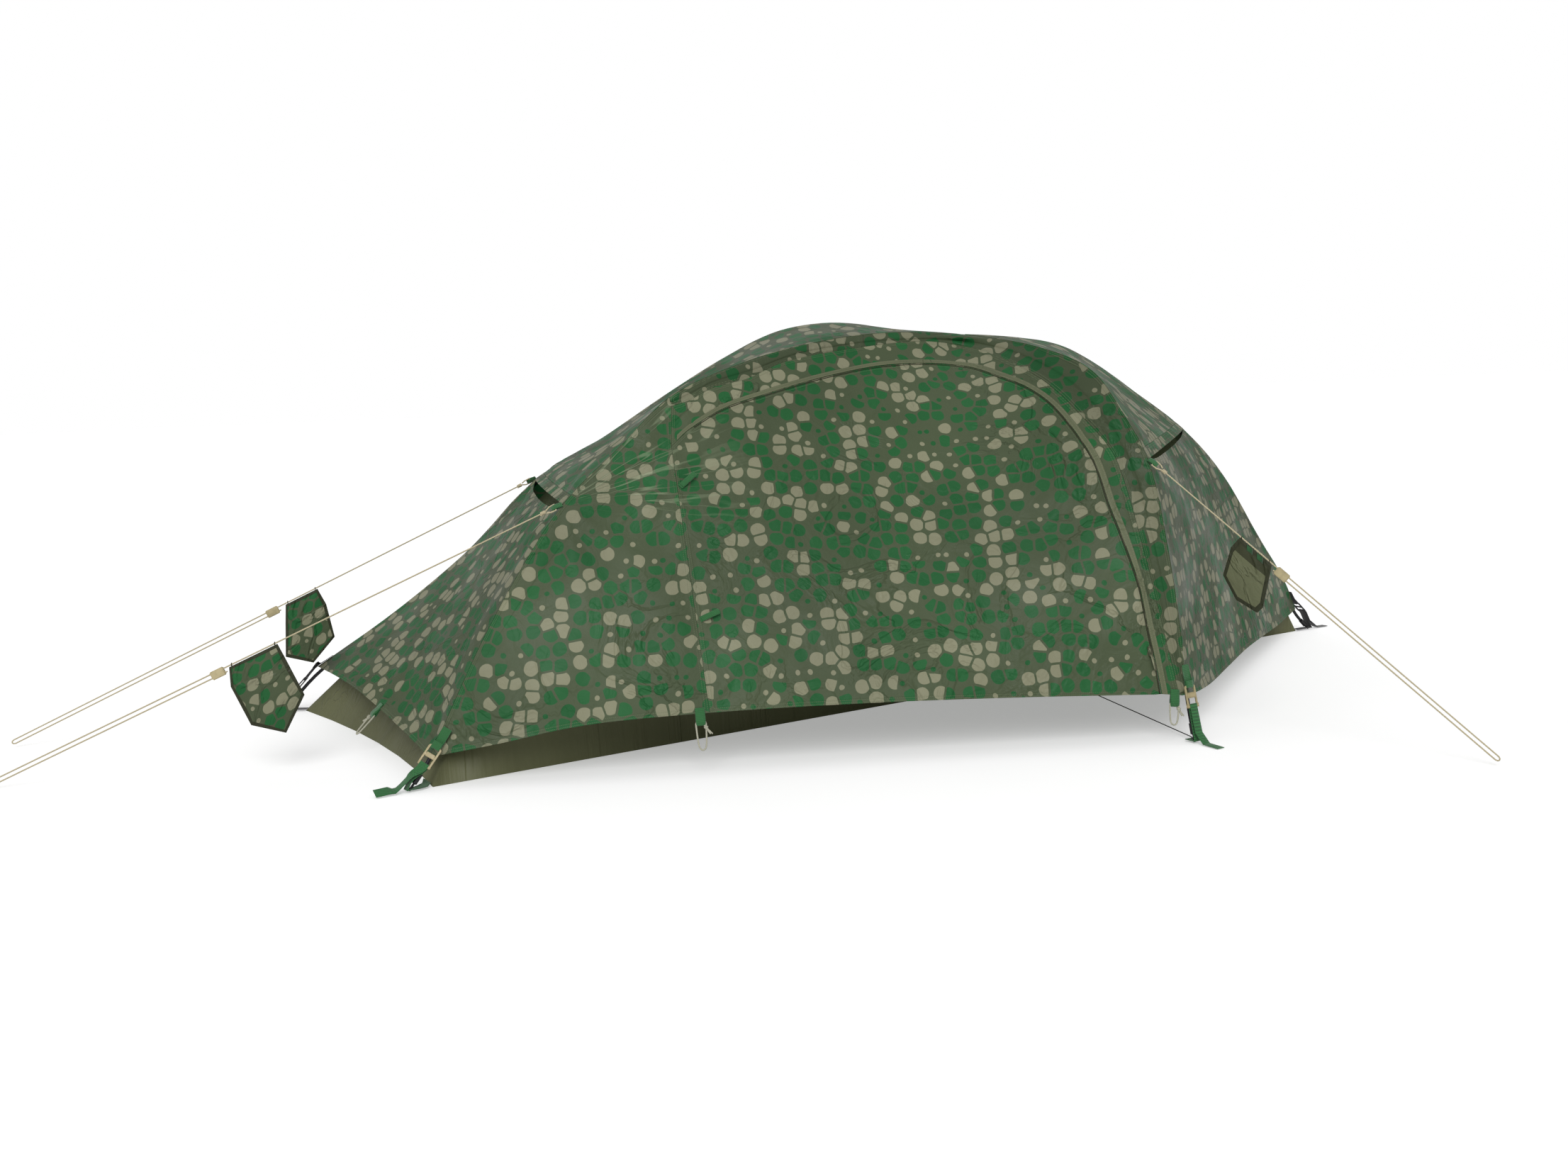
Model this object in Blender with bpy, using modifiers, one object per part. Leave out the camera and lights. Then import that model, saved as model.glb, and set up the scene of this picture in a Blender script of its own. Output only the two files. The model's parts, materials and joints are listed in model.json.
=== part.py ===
"""One-person trekking tent on two crossed poles: flysheet, inner, guy lines and fittings. Metres, +Z up."""
import math
import bpy
import bmesh
import numpy as np
from mathutils import Matrix, Vector

# Driving sizes
CLOTH_T = 0.0008
FLOOR_T = 0.0010
INNER_T = 0.0007
SEAM_GAP = 0.00028
POLE_R = 0.0045
POLE_GAP = 0.0008
POLE_JOINT_GAP = 0.0003
CROSS_DROP = 0.0102
TIP_COLLAR_R = 0.0056
TIP_COLLAR_LEN = 0.024
TIP_PIN_R = 0.0024
TIP_PIN_LEN = 0.016
CORD_R = 0.0015
LOOP_CORD_R = 0.00125
WEB_W = 0.020
WEB_T = 0.0012
WEB_GAP = 0.00035
BUCKLE_W = 0.029
BUCKLE_L = 0.044
BUCKLE_T = 0.003
BUCKLE_BAR = 0.004
STRAP_HOLE_R = 0.0034
TAIL_LEN = 0.062
FLOOR_REACH = 0.050
FLAP_W = 0.014
FLAP_T = 0.0010
HOOD_HEM_W = 0.025
VENT_DIP = 0.055
HOOD_BOW = 0.022
HOOD_EASE = 0.004
BACK_SAG = 0.020
END_SAG = 0.016
INNER_OFFSET = 0.045
TUB_WALL = 0.140
FRAME_SHIFT = (-0.1231, 0.0056, 0.0)

# Ground points of the four pole feet
FOOT_LF = (-0.930, -0.449, 0.0)
FOOT_RF = (0.680, -0.547, 0.0)
FOOT_LB = (-1.271, 0.416, 0.0)
FOOT_RB = (1.520, 0.573, 0.0)

# Corners of the flysheet's hem stand off the feet, and the hoods end at fixed points of the ridges
HOOD_FL = (-.591, -.308, .541)
HOOD_FR = (.630, -.420, .585)
HOOD_BL = (-.629, .297, .552)
HOOD_BR = (1.057, .380, .595)
CROSSING = (.375, .095, .860)


def off_foot(foot, dx, dy, z):
    """A point at a set distance from a foot."""
    return (foot[0] + dx, foot[1] + dy, z)


def up_leg(foot, hood, share, dx, dy, z):
    """A point part of the way from a foot to its hood corner."""
    return (foot[0] * (1 - share) + hood[0] * share + dx, foot[1] * (1 - share) + hood[1] * share + dy, z)


HEM_LF = off_foot(FOOT_LF, .044, .018, .062)
HEM_RF = off_foot(FOOT_RF, -.006, .017, .096)
HEM_LB = off_foot(FOOT_LB, .088, -.013, .108)
HEM_RB = off_foot(FOOT_RB, -.050, -.017, .062)
# Ridge of pole A, left front hem to right back hem, in spans that end at the seams
A_SPANS = (
    ([HEM_LF, up_leg(FOOT_LF, HOOD_FL, .5, .0205, .0085, .33), HOOD_FL], 9),
    ([HOOD_FL, (-.46, -.250, .655), (-.351, -.200, .748)], 5),
    ([(-.351, -.200, .748), (-.20, -.135, .808), (-.02, -.060, .850), (.18, .018, .869), CROSSING], 13),
    ([CROSSING, (.54, .165, .847), (.66, .215, .826), (.76, .256, .782), (.89, .309, .703), HOOD_BR], 12),
    ([HOOD_BR, up_leg(FOOT_RB, HOOD_BR, .7, -.0059, -.0029, .470), up_leg(FOOT_RB, HOOD_BR, .4, -.0048, -.0018, .278),
      up_leg(FOOT_RB, HOOD_BR, .2, -.0024, .0006, .150), HEM_RB], 9),
)
# Ridge of pole B, right front hem to left back hem
B_SPANS = (
    ([HEM_RF, up_leg(FOOT_RF, HOOD_FR, .5, 0, .0085, .38), HOOD_FR], 9),
    ([HOOD_FR, (.600, -.352, .683), (.566, -.275, .768), (.500, -.130, .822), CROSSING], 12),
    ([CROSSING, (.23, .137, .876), (.09, .162, .897), (-.045, .186, .882), (-.166, .209, .828),
      (-.31, .236, .744), (-.471, .267, .642), HOOD_BL], 18),
    ([HOOD_BL, up_leg(FOOT_LB, HOOD_BL, .7, .0216, -.0047, .385), up_leg(FOOT_LB, HOOD_BL, .4, .0292, -.0054, .240),
      HEM_LB], 9),
)
FRONT_HEM = [HEM_LF, (-.754, -.455, .084), (-.582, -.468, .112), (-.328, -.483, .123),
             (0, -.50, .123), (.273, -.515, .117), (.481, -.525, .109), (.628, -.531, .102), HEM_RF]
LEFT_HEM = [HEM_LF, off_foot(FOOT_LF, -.007, .165, .079), (-1.012, -.061, .097), (-1.076, .117, .108),
            off_foot(FOOT_LB, .136, -.132, .108), HEM_LB]
RIGHT_HEM = [HEM_RF, off_foot(FOOT_RF, .070, .127, .078), (.942, -.150, .071), (1.040, -.015, .072),
             (1.240, .254, .063), off_foot(FOOT_RB, -.095, -.075, .056), HEM_RB]
BACK_HEM = [HEM_LB, (-.60, .428, .122), (.10, .466, .120), (.80, .522, .100), HEM_RB]
# Front seams as (x, z) on the front surface
ZIP_XZ = [(-0.356, 0.646), (-0.325, 0.672), (-0.285, 0.695), (-0.229, 0.721), (-0.170, 0.736),
          (-0.068, 0.760), (0.018, 0.777), (0.141, 0.794), (0.243, 0.796), (0.305, 0.792), (0.373, 0.780),
          (0.424, 0.754), (0.460, 0.732), (0.487, 0.695), (0.510, 0.644), (0.530, 0.591), (0.538, 0.549),
          (0.546, 0.494), (0.563, 0.427), (0.587, 0.324), (0.595, 0.247), (0.605, 0.174), (0.613, 0.104)]
BAND_XZ = [(-0.349, 0.729), (-0.311, 0.738), (-0.263, 0.761), (-0.164, 0.782), (-0.095, 0.809),
           (0.108, 0.838), (0.290, 0.845), (0.391, 0.825), (0.434, 0.802), (0.468, 0.768), (0.497, 0.737),
           (0.510, 0.708), (0.543, 0.651), (0.568, 0.602), (0.584, 0.521), (0.600, 0.422), (0.618, 0.310),
           (0.634, 0.210), (0.653, 0.099)]
# Pouch outlines: (distance along the cord towards the tent, drop below the cord)
POUCH_FRONT = [(0, .0033), (.110, .0033), (.126, .043), (.161, .133), (.114, .192), (.038, .142), (0, .044)]
POUCH_BACK = [(0, .0033), (.081, .0033), (.100, .049), (.115, .134), (.0575, .169), (-.010, .123), (-.004, .046)]
POUCH_RIGHT = [(0, .0033), (.085, .0033), (.108, .038), (.129, .110), (.093, .138), (.037, .127), (.022, .106)]
POUCH_T = 0.0024
POUCH_RING_IN = 0.0021
POUCH_RING_OUT = 0.0037
POUCH_RING_LEN = 0.009
# Guy lines: hood corner, peg end, distance from hood to slider, distance from hood to pouch's far loop
GUY_WEB_W = 0.012
GUY_SPREAD = 0.009
SLIDER_LEN = 0.030
SLIDER_H = 0.018
SLIDER_T = 0.008
SLIDER_BORE_R = 0.0020
GUYS = {
    "left_front": dict(end=(-1.787, -.170, .016), slider=.790, pouch=.762, outline=POUCH_FRONT),
    "left_back": dict(end=(-1.849, .214, .016), slider=.690, pouch=.655, outline=POUCH_BACK),
    "right": dict(end=(1.148, -.900, .016), slider=.366, pouch=.336, outline=POUCH_RIGHT),
}
# Peg loops: cord ring length and width below each hem tab
RING_W = 0.0245
RING_LEN = {"left": 0.056, "front": 0.058, "right": 0.046}
TAB_W = 0.020
TAB_GAP = 0.0006
# Door fittings
ZIP_SLIDER_SIZE = (0.009, 0.022, 0.006)
PULLER_SIZE = (0.006, 0.034, 0.0022)
TIEBACK_LEN = 0.042
TIEBACK_W = 0.012
DOORWAY_COLS = (7, 16)
DOORWAY_ROWS = (1, 5)


def clear_scene():
    for ob in list(bpy.data.objects):
        bpy.data.objects.remove(ob, do_unlink=True)
    for block in (bpy.data.meshes, bpy.data.curves, bpy.data.materials):
        for item in list(block):
            block.remove(item)


def new_collection(name, hidden=False):
    coll = bpy.data.collections.new(name)
    bpy.context.scene.collection.children.link(coll)
    coll.hide_render = hidden
    return coll


clear_scene()
PART = new_collection("trekking_tent")
CUTTERS = new_collection("cutters", hidden=True)


def material(name, rgb, rough, metal=0.0):
    mat = bpy.data.materials.new(name)
    mat.use_nodes = True
    bsdf = mat.node_tree.nodes["Principled BSDF"]
    bsdf.inputs["Base Color"].default_value = (*rgb, 1.0)
    bsdf.inputs["Roughness"].default_value = rough
    bsdf.inputs["Metallic"].default_value = metal
    mat.diffuse_color = (*rgb, 1.0)
    return mat


M_FLY = material("fly_fabric", (0.075, 0.125, 0.060), 0.6)
M_BAND = material("flap_fabric", (0.160, 0.170, 0.090), 0.7)
M_FLOOR = material("floor_fabric", (0.060, 0.070, 0.038), 0.7)
M_INNER = material("inner_fabric", (0.130, 0.135, 0.080), 0.8)
M_WEB = material("webbing", (0.020, 0.160, 0.050), 0.8)
M_BUCKLE = material("buckle_plastic", (0.420, 0.330, 0.180), 0.5)
M_POLE = material("pole_aluminium", (0.550, 0.560, 0.570), 0.3, 1.0)
M_TIP = material("tip_plastic", (0.015, 0.015, 0.016), 0.45)
M_CORD = material("guy_cord", (0.620, 0.520, 0.330), 0.8)
M_PALE = material("pale_cord", (0.680, 0.660, 0.580), 0.8)
M_BLACK = material("black_cord", (0.015, 0.015, 0.016), 0.8)
M_SLIDER = material("slider_plastic", (0.330, 0.260, 0.140), 0.5)
M_METAL = material("zip_metal", (0.330, 0.300, 0.240), 0.35, 1.0)


def unit(v):
    v = np.asarray(v, float)
    return v / np.linalg.norm(v)


def smooth(points, per=40):
    """Centripetal curve through the points; returns the dense points and the index of each given point."""
    p = np.asarray(points, float)
    q = np.vstack([2 * p[0] - p[1], p, 2 * p[-1] - p[-2]])
    knots = np.r_[0, np.cumsum(np.sqrt(np.linalg.norm(np.diff(q, axis=0), axis=1)))]
    out, marks = [], [0]
    for i in range(1, len(p)):
        t0, t1, t2, t3 = knots[i - 1:i + 3]
        p0, p1, p2, p3 = q[i - 1:i + 3]
        for u in np.linspace(t1, t2, per, endpoint=False):
            a1 = (t1 - u) / (t1 - t0) * p0 + (u - t0) / (t1 - t0) * p1
            a2 = (t2 - u) / (t2 - t1) * p1 + (u - t1) / (t2 - t1) * p2
            a3 = (t3 - u) / (t3 - t2) * p2 + (u - t2) / (t3 - t2) * p3
            b1 = (t2 - u) / (t2 - t0) * a1 + (u - t0) / (t2 - t0) * a2
            b2 = (t3 - u) / (t3 - t1) * a2 + (u - t1) / (t3 - t1) * a3
            out.append((t2 - u) / (t2 - t1) * b1 + (u - t1) / (t2 - t1) * b2)
        marks.append(len(out))
    out.append(p[-1])
    return np.array(out), marks


def resample(dense, n):
    dense = np.asarray(dense, float)
    s = np.r_[0, np.cumsum(np.linalg.norm(np.diff(dense, axis=0), axis=1))]
    g = np.linspace(0, s[-1], n + 1)
    return np.stack([np.interp(g, s, dense[:, i]) for i in range(dense.shape[1])], 1)


def ridge(spans):
    """Nodes of every span of a ridge, one smooth curve through all of them."""
    ctrl, ends = list(spans[0][0]), [len(spans[0][0]) - 1]
    for pts, _ in spans[1:]:
        ctrl += pts[1:]
        ends.append(len(ctrl) - 1)
    dense, marks = smooth(ctrl)
    nodes, start = [], 0
    for (pts, n), end in zip(spans, ends):
        nodes.append(resample(dense[marks[start]:marks[end] + 1], n))
        start = end
    return nodes


def chain(*parts):
    out = [np.asarray(parts[0])]
    for part in parts[1:]:
        out.append(np.asarray(part)[1:])
    return np.vstack(out)


A_LEG_L, A_FL_P1, A_P1_C, A_C_BR, A_LEG_R = ridge(A_SPANS)
B_LEG_R, B_FR_C, B_C_BL, B_LEG_L = ridge(B_SPANS)
A_LEFT = chain(A_LEG_L, A_FL_P1, A_P1_C)
A_RIGHT = chain(A_C_BR, A_LEG_R)
B_RIGHT = chain(B_LEG_R, B_FR_C)
B_LEFT = chain(B_C_BL, B_LEG_L)
CROSSING = A_P1_C[-1]
FRONT_ARCH = chain(A_LEFT, B_RIGHT[::-1])
FRONT_HEM_D = smooth(FRONT_HEM)[0]
CENTRE = np.array([0.15, 0.0, 0.12])


def front_rim():
    """Points all round the edge of the front: the ridge nodes and points along the hem."""
    hem = resample(FRONT_HEM_D, 26)[1:-1]
    return np.vstack([FRONT_ARCH, hem])


RIM = front_rim()
SPREAD = np.linalg.norm(RIM[:, None, ::2] - RIM[None, :, ::2], axis=2)
SYSTEM = np.block([[SPREAD, np.ones((len(RIM), 1))], [np.ones((1, len(RIM))), np.zeros((1, 1))]])
WEIGHTS = np.linalg.solve(SYSTEM, np.r_[RIM[:, 1], 0.0])


def front_y(x, z):
    """Depth of the taut front cloth at a point seen from the front, drawn smoothly from its rim."""
    dist = np.hypot(RIM[:, 0] - x, RIM[:, 2] - z)
    return float(np.dot(WEIGHTS[:-1], dist) + WEIGHTS[-1])


def on_front(xz):
    return np.array([[x, front_y(x, z), z] for x, z in np.asarray(xz)[:, :2]])


def hem_part(x0, x1, n):
    xs = np.linspace(x0, x1, n + 1)
    return np.stack([np.interp(xs, FRONT_HEM_D[:, 0], FRONT_HEM_D[:, i]) for i in range(3)], 1)


def add_object(name, data, mat, coll=PART):
    ob = bpy.data.objects.new(name, data)
    coll.objects.link(ob)
    data.materials.append(mat)
    return ob


def inset(grid, gap):
    """Draw the four edges of a grid in by the seam gap."""
    g = grid.copy()
    for edge, inner in ((0, 1), (-1, -2)):
        d = grid[inner] - grid[edge]
        g[edge] += d / np.linalg.norm(d, axis=1, keepdims=True) * gap
    h = g.copy()
    for edge, inner in ((0, 1), (-1, -2)):
        d = g[:, inner] - g[:, edge]
        h[:, edge] += d / np.linalg.norm(d, axis=1, keepdims=True) * gap
    return h


def grid_faces(rows, cols, keep=None):
    faces = []
    for j in range(rows - 1):
        for i in range(cols - 1):
            if keep is None or keep(i, j):
                a = j * cols + i
                faces.append((a, a + 1, a + cols + 1, a + cols))
    return faces


def cloth(name, grid, mat, thick=CLOTH_T, gap=SEAM_GAP, towards=1):
    """A cloth panel: the grid is its inner face and the thickness is added outwards."""
    g = inset(np.asarray(grid, float), gap)
    rows, cols = g.shape[:2]
    j, i = (rows - 1) // 2, (cols - 1) // 2
    normal = np.cross(g[j, i + 1] - g[j, i], g[j + 1, i] - g[j, i])
    faces = grid_faces(rows, cols)
    if np.dot(normal, g[j, i] - CENTRE) < 0:
        faces = [f[::-1] for f in faces]
    mesh = bpy.data.meshes.new(name)
    mesh.from_pydata([tuple(p) for p in g.reshape(-1, 3)], [], faces)
    ob = add_object(name, mesh, mat)
    mod = ob.modifiers.new("thickness", 'SOLIDIFY')
    mod.thickness = thick
    mod.offset = towards
    return ob


def tube(name, pts, radius, mat, cyclic=False):
    curve = bpy.data.curves.new(name, 'CURVE')
    curve.dimensions = '3D'
    curve.bevel_depth = radius
    curve.bevel_resolution = 2
    curve.use_fill_caps = not cyclic
    spline = curve.splines.new('POLY')
    spline.points.add(len(pts) - 1)
    for point, p in zip(spline.points, pts):
        point.co = (*p, 1.0)
    spline.use_cyclic_u = cyclic
    return add_object(name, curve, mat)


def strap(name, path, across, width, mat, thick=WEB_T):
    """Flat webbing along a path, its width along one direction."""
    across = unit(across) * width / 2
    verts = [tuple(np.asarray(p) + k * across) for p in path for k in (-1, 1)]
    faces = [(2 * i, 2 * i + 1, 2 * i + 3, 2 * i + 2) for i in range(len(path) - 1)]
    mesh = bpy.data.meshes.new(name)
    mesh.from_pydata(verts, [], faces)
    ob = add_object(name, mesh, mat)
    mod = ob.modifiers.new("thickness", 'SOLIDIFY')
    mod.thickness = thick
    mod.offset = 0
    mod.use_even_offset = True
    return ob


def solid_mesh(name, bm, mat, coll=PART):
    bmesh.ops.recalc_face_normals(bm, faces=bm.faces)
    mesh = bpy.data.meshes.new(name)
    bm.to_mesh(mesh)
    bm.free()
    return add_object(name, mesh, mat, coll)


def basis(x, y, z, origin):
    return Matrix(((x[0], y[0], z[0], origin[0]), (x[1], y[1], z[1], origin[1]),
                   (x[2], y[2], z[2], origin[2]), (0, 0, 0, 1)))


def cylinder(bm, a, b, radius, segs=16):
    a, b = Vector(a), Vector(b)
    rot = (b - a).to_track_quat('Z', 'Y').to_matrix().to_4x4()
    bmesh.ops.create_cone(bm, cap_ends=True, segments=segs, radius1=radius, radius2=radius,
                          depth=(b - a).length, matrix=Matrix.Translation((a + b) / 2) @ rot)


def cutter(name, a, b, radius, segs=16):
    bm = bmesh.new()
    cylinder(bm, a, b, radius, segs)
    ob = solid_mesh(name, bm, M_TIP, CUTTERS)
    ob.hide_render = True
    ob.display_type = 'WIRE'
    return ob


def boolean(ob, other, operation):
    mod = ob.modifiers.new(operation.lower(), 'BOOLEAN')
    mod.operation = operation
    mod.solver = 'EXACT'
    mod.object = other
    return mod


def turned(name, rings, origin, axis, mat, segs=16):
    """A turned solid: (distance along the axis, radius) rings."""
    axis = unit(axis)
    side = unit(np.cross(axis, (0, 1, 0.2)))
    up = np.cross(axis, side)
    bm = bmesh.new()
    loops = []
    for dist, rad in rings:
        loops.append([bm.verts.new(tuple(np.asarray(origin) + axis * dist + rad * (
            side * math.cos(2 * math.pi * k / segs) + up * math.sin(2 * math.pi * k / segs))))
            for k in range(segs)])
    for lo, hi in zip(loops, loops[1:]):
        for k in range(segs):
            bm.faces.new((lo[k], lo[(k + 1) % segs], hi[(k + 1) % segs], hi[k]))
    bm.faces.new(loops[0][::-1])
    bm.faces.new(loops[-1])
    return solid_mesh(name, bm, mat)


def plate(name, outlines, thick, matrix, mat):
    """A flat plate from closed outlines, the first its edge and the others its holes."""
    curve = bpy.data.curves.new(name, 'CURVE')
    curve.dimensions = '2D'
    curve.fill_mode = 'BOTH'
    curve.extrude = thick / 2
    for outline in outlines:
        spline = curve.splines.new('POLY')
        spline.points.add(len(outline) - 1)
        for point, (x, y) in zip(spline.points, outline):
            point.co = (x, y, 0, 1)
        spline.use_cyclic_u = True
    ob = add_object(name, curve, mat)
    ob.matrix_world = matrix
    return ob


def rounded(w, h, r, cx=0.0, cy=0.0, steps=3):
    pts = []
    for sx, sy, start in ((1, 1, 0), (-1, 1, 90), (-1, -1, 180), (1, -1, 270)):
        for k in range(steps + 1):
            ang = math.radians(start + 90 * k / steps)
            pts.append((cx + sx * (w / 2 - r) + r * math.cos(ang), cy + sy * (h / 2 - r) + r * math.sin(ang)))
    return pts


def move_origin(ob, point):
    """Put a mesh or curve object's origin on its joint without moving its shape."""
    ob.data.transform(Matrix.Translation(-Vector(point)) @ ob.matrix_world)
    ob.matrix_world = Matrix.Translation(Vector(point))


# Front panels
N_DOOR = 6
ZIP_D, _ = smooth([(x, z) for x, z in ZIP_XZ])
BAND_D, _ = smooth([(x, z) for x, z in BAND_XZ])
N_ALONG = len(A_P1_C) - 1 + len(B_RIGHT) - 1
zip_nodes = on_front(resample(ZIP_D, N_ALONG))
band_nodes = on_front(resample(BAND_D, N_ALONG))
ridge_nodes = chain(A_P1_C, B_RIGHT[::-1])
SEAM_FOOT = hem_part(-.3271, -.3271, 1)[0]
seam_low = SEAM_FOOT + (zip_nodes[0] - SEAM_FOOT) * np.linspace(0, 1, N_DOOR + 1)[:, None]
seam_pull = seam_low[:, 1] - on_front(seam_low[:, ::2])[:, 1]
to_band = band_nodes - zip_nodes
reach = np.linalg.norm(to_band, axis=1, keepdims=True)
flap_line = zip_nodes + to_band * np.minimum((FLAP_W + .002) / reach, .45)
flap_line = np.array([[p[0], front_y(p[0], p[2]), p[2]] for p in flap_line])
brow_mid = on_front(((band_nodes + ridge_nodes) / 2)[:, ::2])
brow_mid[-1] = (band_nodes[-1] + ridge_nodes[-1]) / 2
seam_nodes = np.vstack([seam_low, flap_line[:1], band_nodes[:1], brow_mid[:1], ridge_nodes[:1]])

hem_l = hem_part(FRONT_HEM[0][0] + .012, SEAM_FOOT[0], len(A_LEG_L) + len(A_FL_P1) - 2)
ridge_l = chain(A_LEG_L, A_FL_P1)
fraction = np.r_[0, np.cumsum(np.linalg.norm(np.diff(seam_nodes, axis=0), axis=1))]
fraction = fraction / fraction[-1]
rows = []
for j, w in enumerate(fraction):
    row = hem_l * (1 - w) + ridge_l * w
    row[1:-1, 1] = [front_y(p[0], p[2]) for p in row[1:-1]]
    if j <= N_DOOR:
        row[1:-1, 1] += seam_pull[j] * np.clip(1 - np.arange(len(row))[::-1] / 5, 0, 1)[1:-1] ** 2
    rows.append(row)
front_left = np.array(rows)
front_left[0], front_left[-1] = hem_l, ridge_l
front_left[:, -1] = seam_nodes
cloth("fly_front_left_panel", front_left, M_FLY)

door_hem = hem_part(SEAM_FOOT[0], ZIP_XZ[-1][0] - .016, N_ALONG)
rows = []
for j, w in enumerate(np.linspace(0, 1, N_DOOR + 1)):
    row = door_hem * (1 - w) + zip_nodes * w
    row[:, 1] = [front_y(p[0], p[2]) for p in row]
    row[:, 1] += seam_pull[j] * np.clip(1 - np.arange(len(row)) / 8, 0, 1) ** 2
    rows.append(row)
door_grid = np.array(rows)
door_grid[0], door_grid[-1] = door_hem, zip_nodes
door_grid[:, 0] = seam_low
door = cloth("door_panel", door_grid, M_FLY)
arch_grid = np.array([zip_nodes, flap_line, band_nodes])
cloth("fly_front_arch_panel", arch_grid, M_FLY)
cloth("fly_brow_band", np.array([band_nodes, brow_mid, ridge_nodes]), M_FLY)


def lifted(line, along, lift):
    """Raise a line of surface points off the surface; `along` is the neighbouring line."""
    tang = np.gradient(line, axis=0)
    nrm = np.cross(tang, along - line)
    nrm /= np.linalg.norm(nrm, axis=1, keepdims=True)
    sign = np.sign(np.sum(nrm * (line - CENTRE), axis=1, keepdims=True))
    return line + nrm * sign * lift


FLAP_LIFT = CLOTH_T + .0010
FLAP_START = 0.35
flap_low, flap_top = zip_nodes.copy(), flap_line.copy()
for line in (flap_low, flap_top):
    line[0] += (line[1] - line[0]) * FLAP_START
flap_in = flap_low + (flap_top - flap_low) * .06
flap_out = flap_low + (flap_top - flap_low) * .90
flap_mid = (flap_in + flap_out) / 2
cloth("door_zip_flap", np.array([lifted(flap_in, flap_top, FLAP_LIFT), lifted(flap_mid, flap_top, FLAP_LIFT),
                                 lifted(flap_out, flap_top, FLAP_LIFT)]), M_BAND, FLAP_T, 0.0)


# End panels, roof panels and hood hems
def end_panel(name, leg_front, leg_back, hem_ctrl, inward, cols=6):
    """Between two pole legs, from the hem up to an edge cut low under the hood as a vent."""
    n = len(leg_front) - 1
    hem = resample(smooth(hem_ctrl)[0], cols)
    grid = np.zeros((cols + 1, n + 1, 3))
    inward = unit(inward)
    length = np.linalg.norm(leg_front[-1] - leg_front[0])
    for j in range(cols + 1):
        t = j / cols
        bell = 4 * t * (1 - t)
        base = leg_front * (1 - t) + leg_back * t
        for i in range(n + 1):
            v = i / n * (1 - VENT_DIP / length * math.sqrt(bell))
            p = np.array([np.interp(v * n, np.arange(n + 1), base[:, k]) for k in range(3)])
            p = p + (hem[j] - base[0]) * (1 - v) ** 2
            grid[j, i] = p + inward * END_SAG * bell * 4 * v * (1 - v) ** 2
    cloth(name, grid, M_FLY)
    return grid


def roof_panels(name, hem_name, front, back, outward, rows=6):
    """Rows run from the front pole to the back pole; columns from the hood edge to the crossing."""
    n = len(front) - 1
    grid = np.zeros((rows + 1, n + 1, 3))
    outward = unit(outward)
    front, back = front.copy(), back.copy()
    for line in (front, back):
        d = line[-2] - line[-1]
        line[-1] = line[-1] + d / np.linalg.norm(d) * .014
    for j in range(rows + 1):
        t = j / rows
        bell = 4 * t * (1 - t)
        for i in range(n + 1):
            s = i / n
            p = front[i] * (1 - t) + back[i] * t
            p = p + outward * HOOD_BOW * bell * max(0.0, 1 - s * 2.2) ** 2
            width = np.linalg.norm(front[i] - back[i])
            p = p - np.array([0, 0, END_SAG]) * bell * 4 * s * (1 - s) * min(1.0, width / .5) ** 2
            grid[j, i] = p
    step = np.linalg.norm(grid[rows // 2, 1] - grid[rows // 2, 0])
    cut = grid[:, :1] + (grid[:, 1:2] - grid[:, :1]) * min(.8, HOOD_HEM_W / step)
    cloth(hem_name, np.concatenate([grid[:, :1], cut], 1), M_FLY, CLOTH_T * 1.6)
    cloth(name, np.concatenate([cut, grid[:, 1:]], 1), M_FLY)
    return grid


left_end = end_panel("fly_left_end_panel", A_LEG_L, B_LEG_L[::-1], LEFT_HEM, (1, .1, -.45))
right_end = end_panel("fly_right_end_panel", B_LEG_R, A_LEG_R[::-1], RIGHT_HEM, (-1, .55, -.4))
left_roof = roof_panels("fly_left_roof_panel", "left_hood_hem", chain(A_FL_P1, A_P1_C), B_C_BL[::-1], (-.8, 0, .5))
right_roof = roof_panels("fly_right_roof_panel", "right_hood_hem", B_FR_C, A_C_BR[::-1], (.7, -.35, .5))

# Back panel
back_ridge = chain(B_LEFT[::-1], A_RIGHT)
hem_dense = smooth(BACK_HEM)[0]
back_hem = resample(hem_dense, 400)
keep = np.linspace(.012 / 2.6, 1 - .012 / 2.6, len(back_ridge)) * 400
back_hem = np.stack([np.interp(keep, np.arange(401), back_hem[:, i]) for i in range(3)], 1)


def back_point(top, low, v):
    return low * (1 - v) + top * v + np.array([0, -1, -.35]) * BACK_SAG * 4 * v * (1 - v) * min(
        1, np.linalg.norm(top - low) / .5)


BACK_ROWS = 5
back_grid = np.array([[back_point(t, b, j / BACK_ROWS) for t, b in zip(back_ridge, back_hem)]
                      for j in range(BACK_ROWS + 1)])
cloth("fly_back_panel", back_grid, M_FLY)


# Pole centre lines, just inside the ridges
def outward_normals(line, side_1, side_2):
    tang = np.gradient(line, axis=0)
    out = []
    for t, p, q1, q2 in zip(tang, line, side_1, side_2):
        t = unit(t)
        a = unit((q1 - p) - np.dot(q1 - p, t) * t)
        b = unit((q2 - p) - np.dot(q2 - p, t) * t)
        n1, n2 = np.cross(t, a), np.cross(b, t)
        n = unit(n1 + n2)
        if np.dot(n, p - CENTRE) < 0:
            n, n1, n2 = -n, -n1, -n2
        out.append((n, max(min(np.dot(n, n1), np.dot(n, n2)), .42)))
    return out


def front_side(line, dx):
    return np.array([[p[0] + dx, front_y(p[0] + dx, p[2] - .03), p[2] - .03] for p in line])


def join_sides(a, b):
    return np.vstack([a[:-1], [(a[-1] + b[0]) / 2], b[1:]])


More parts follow.
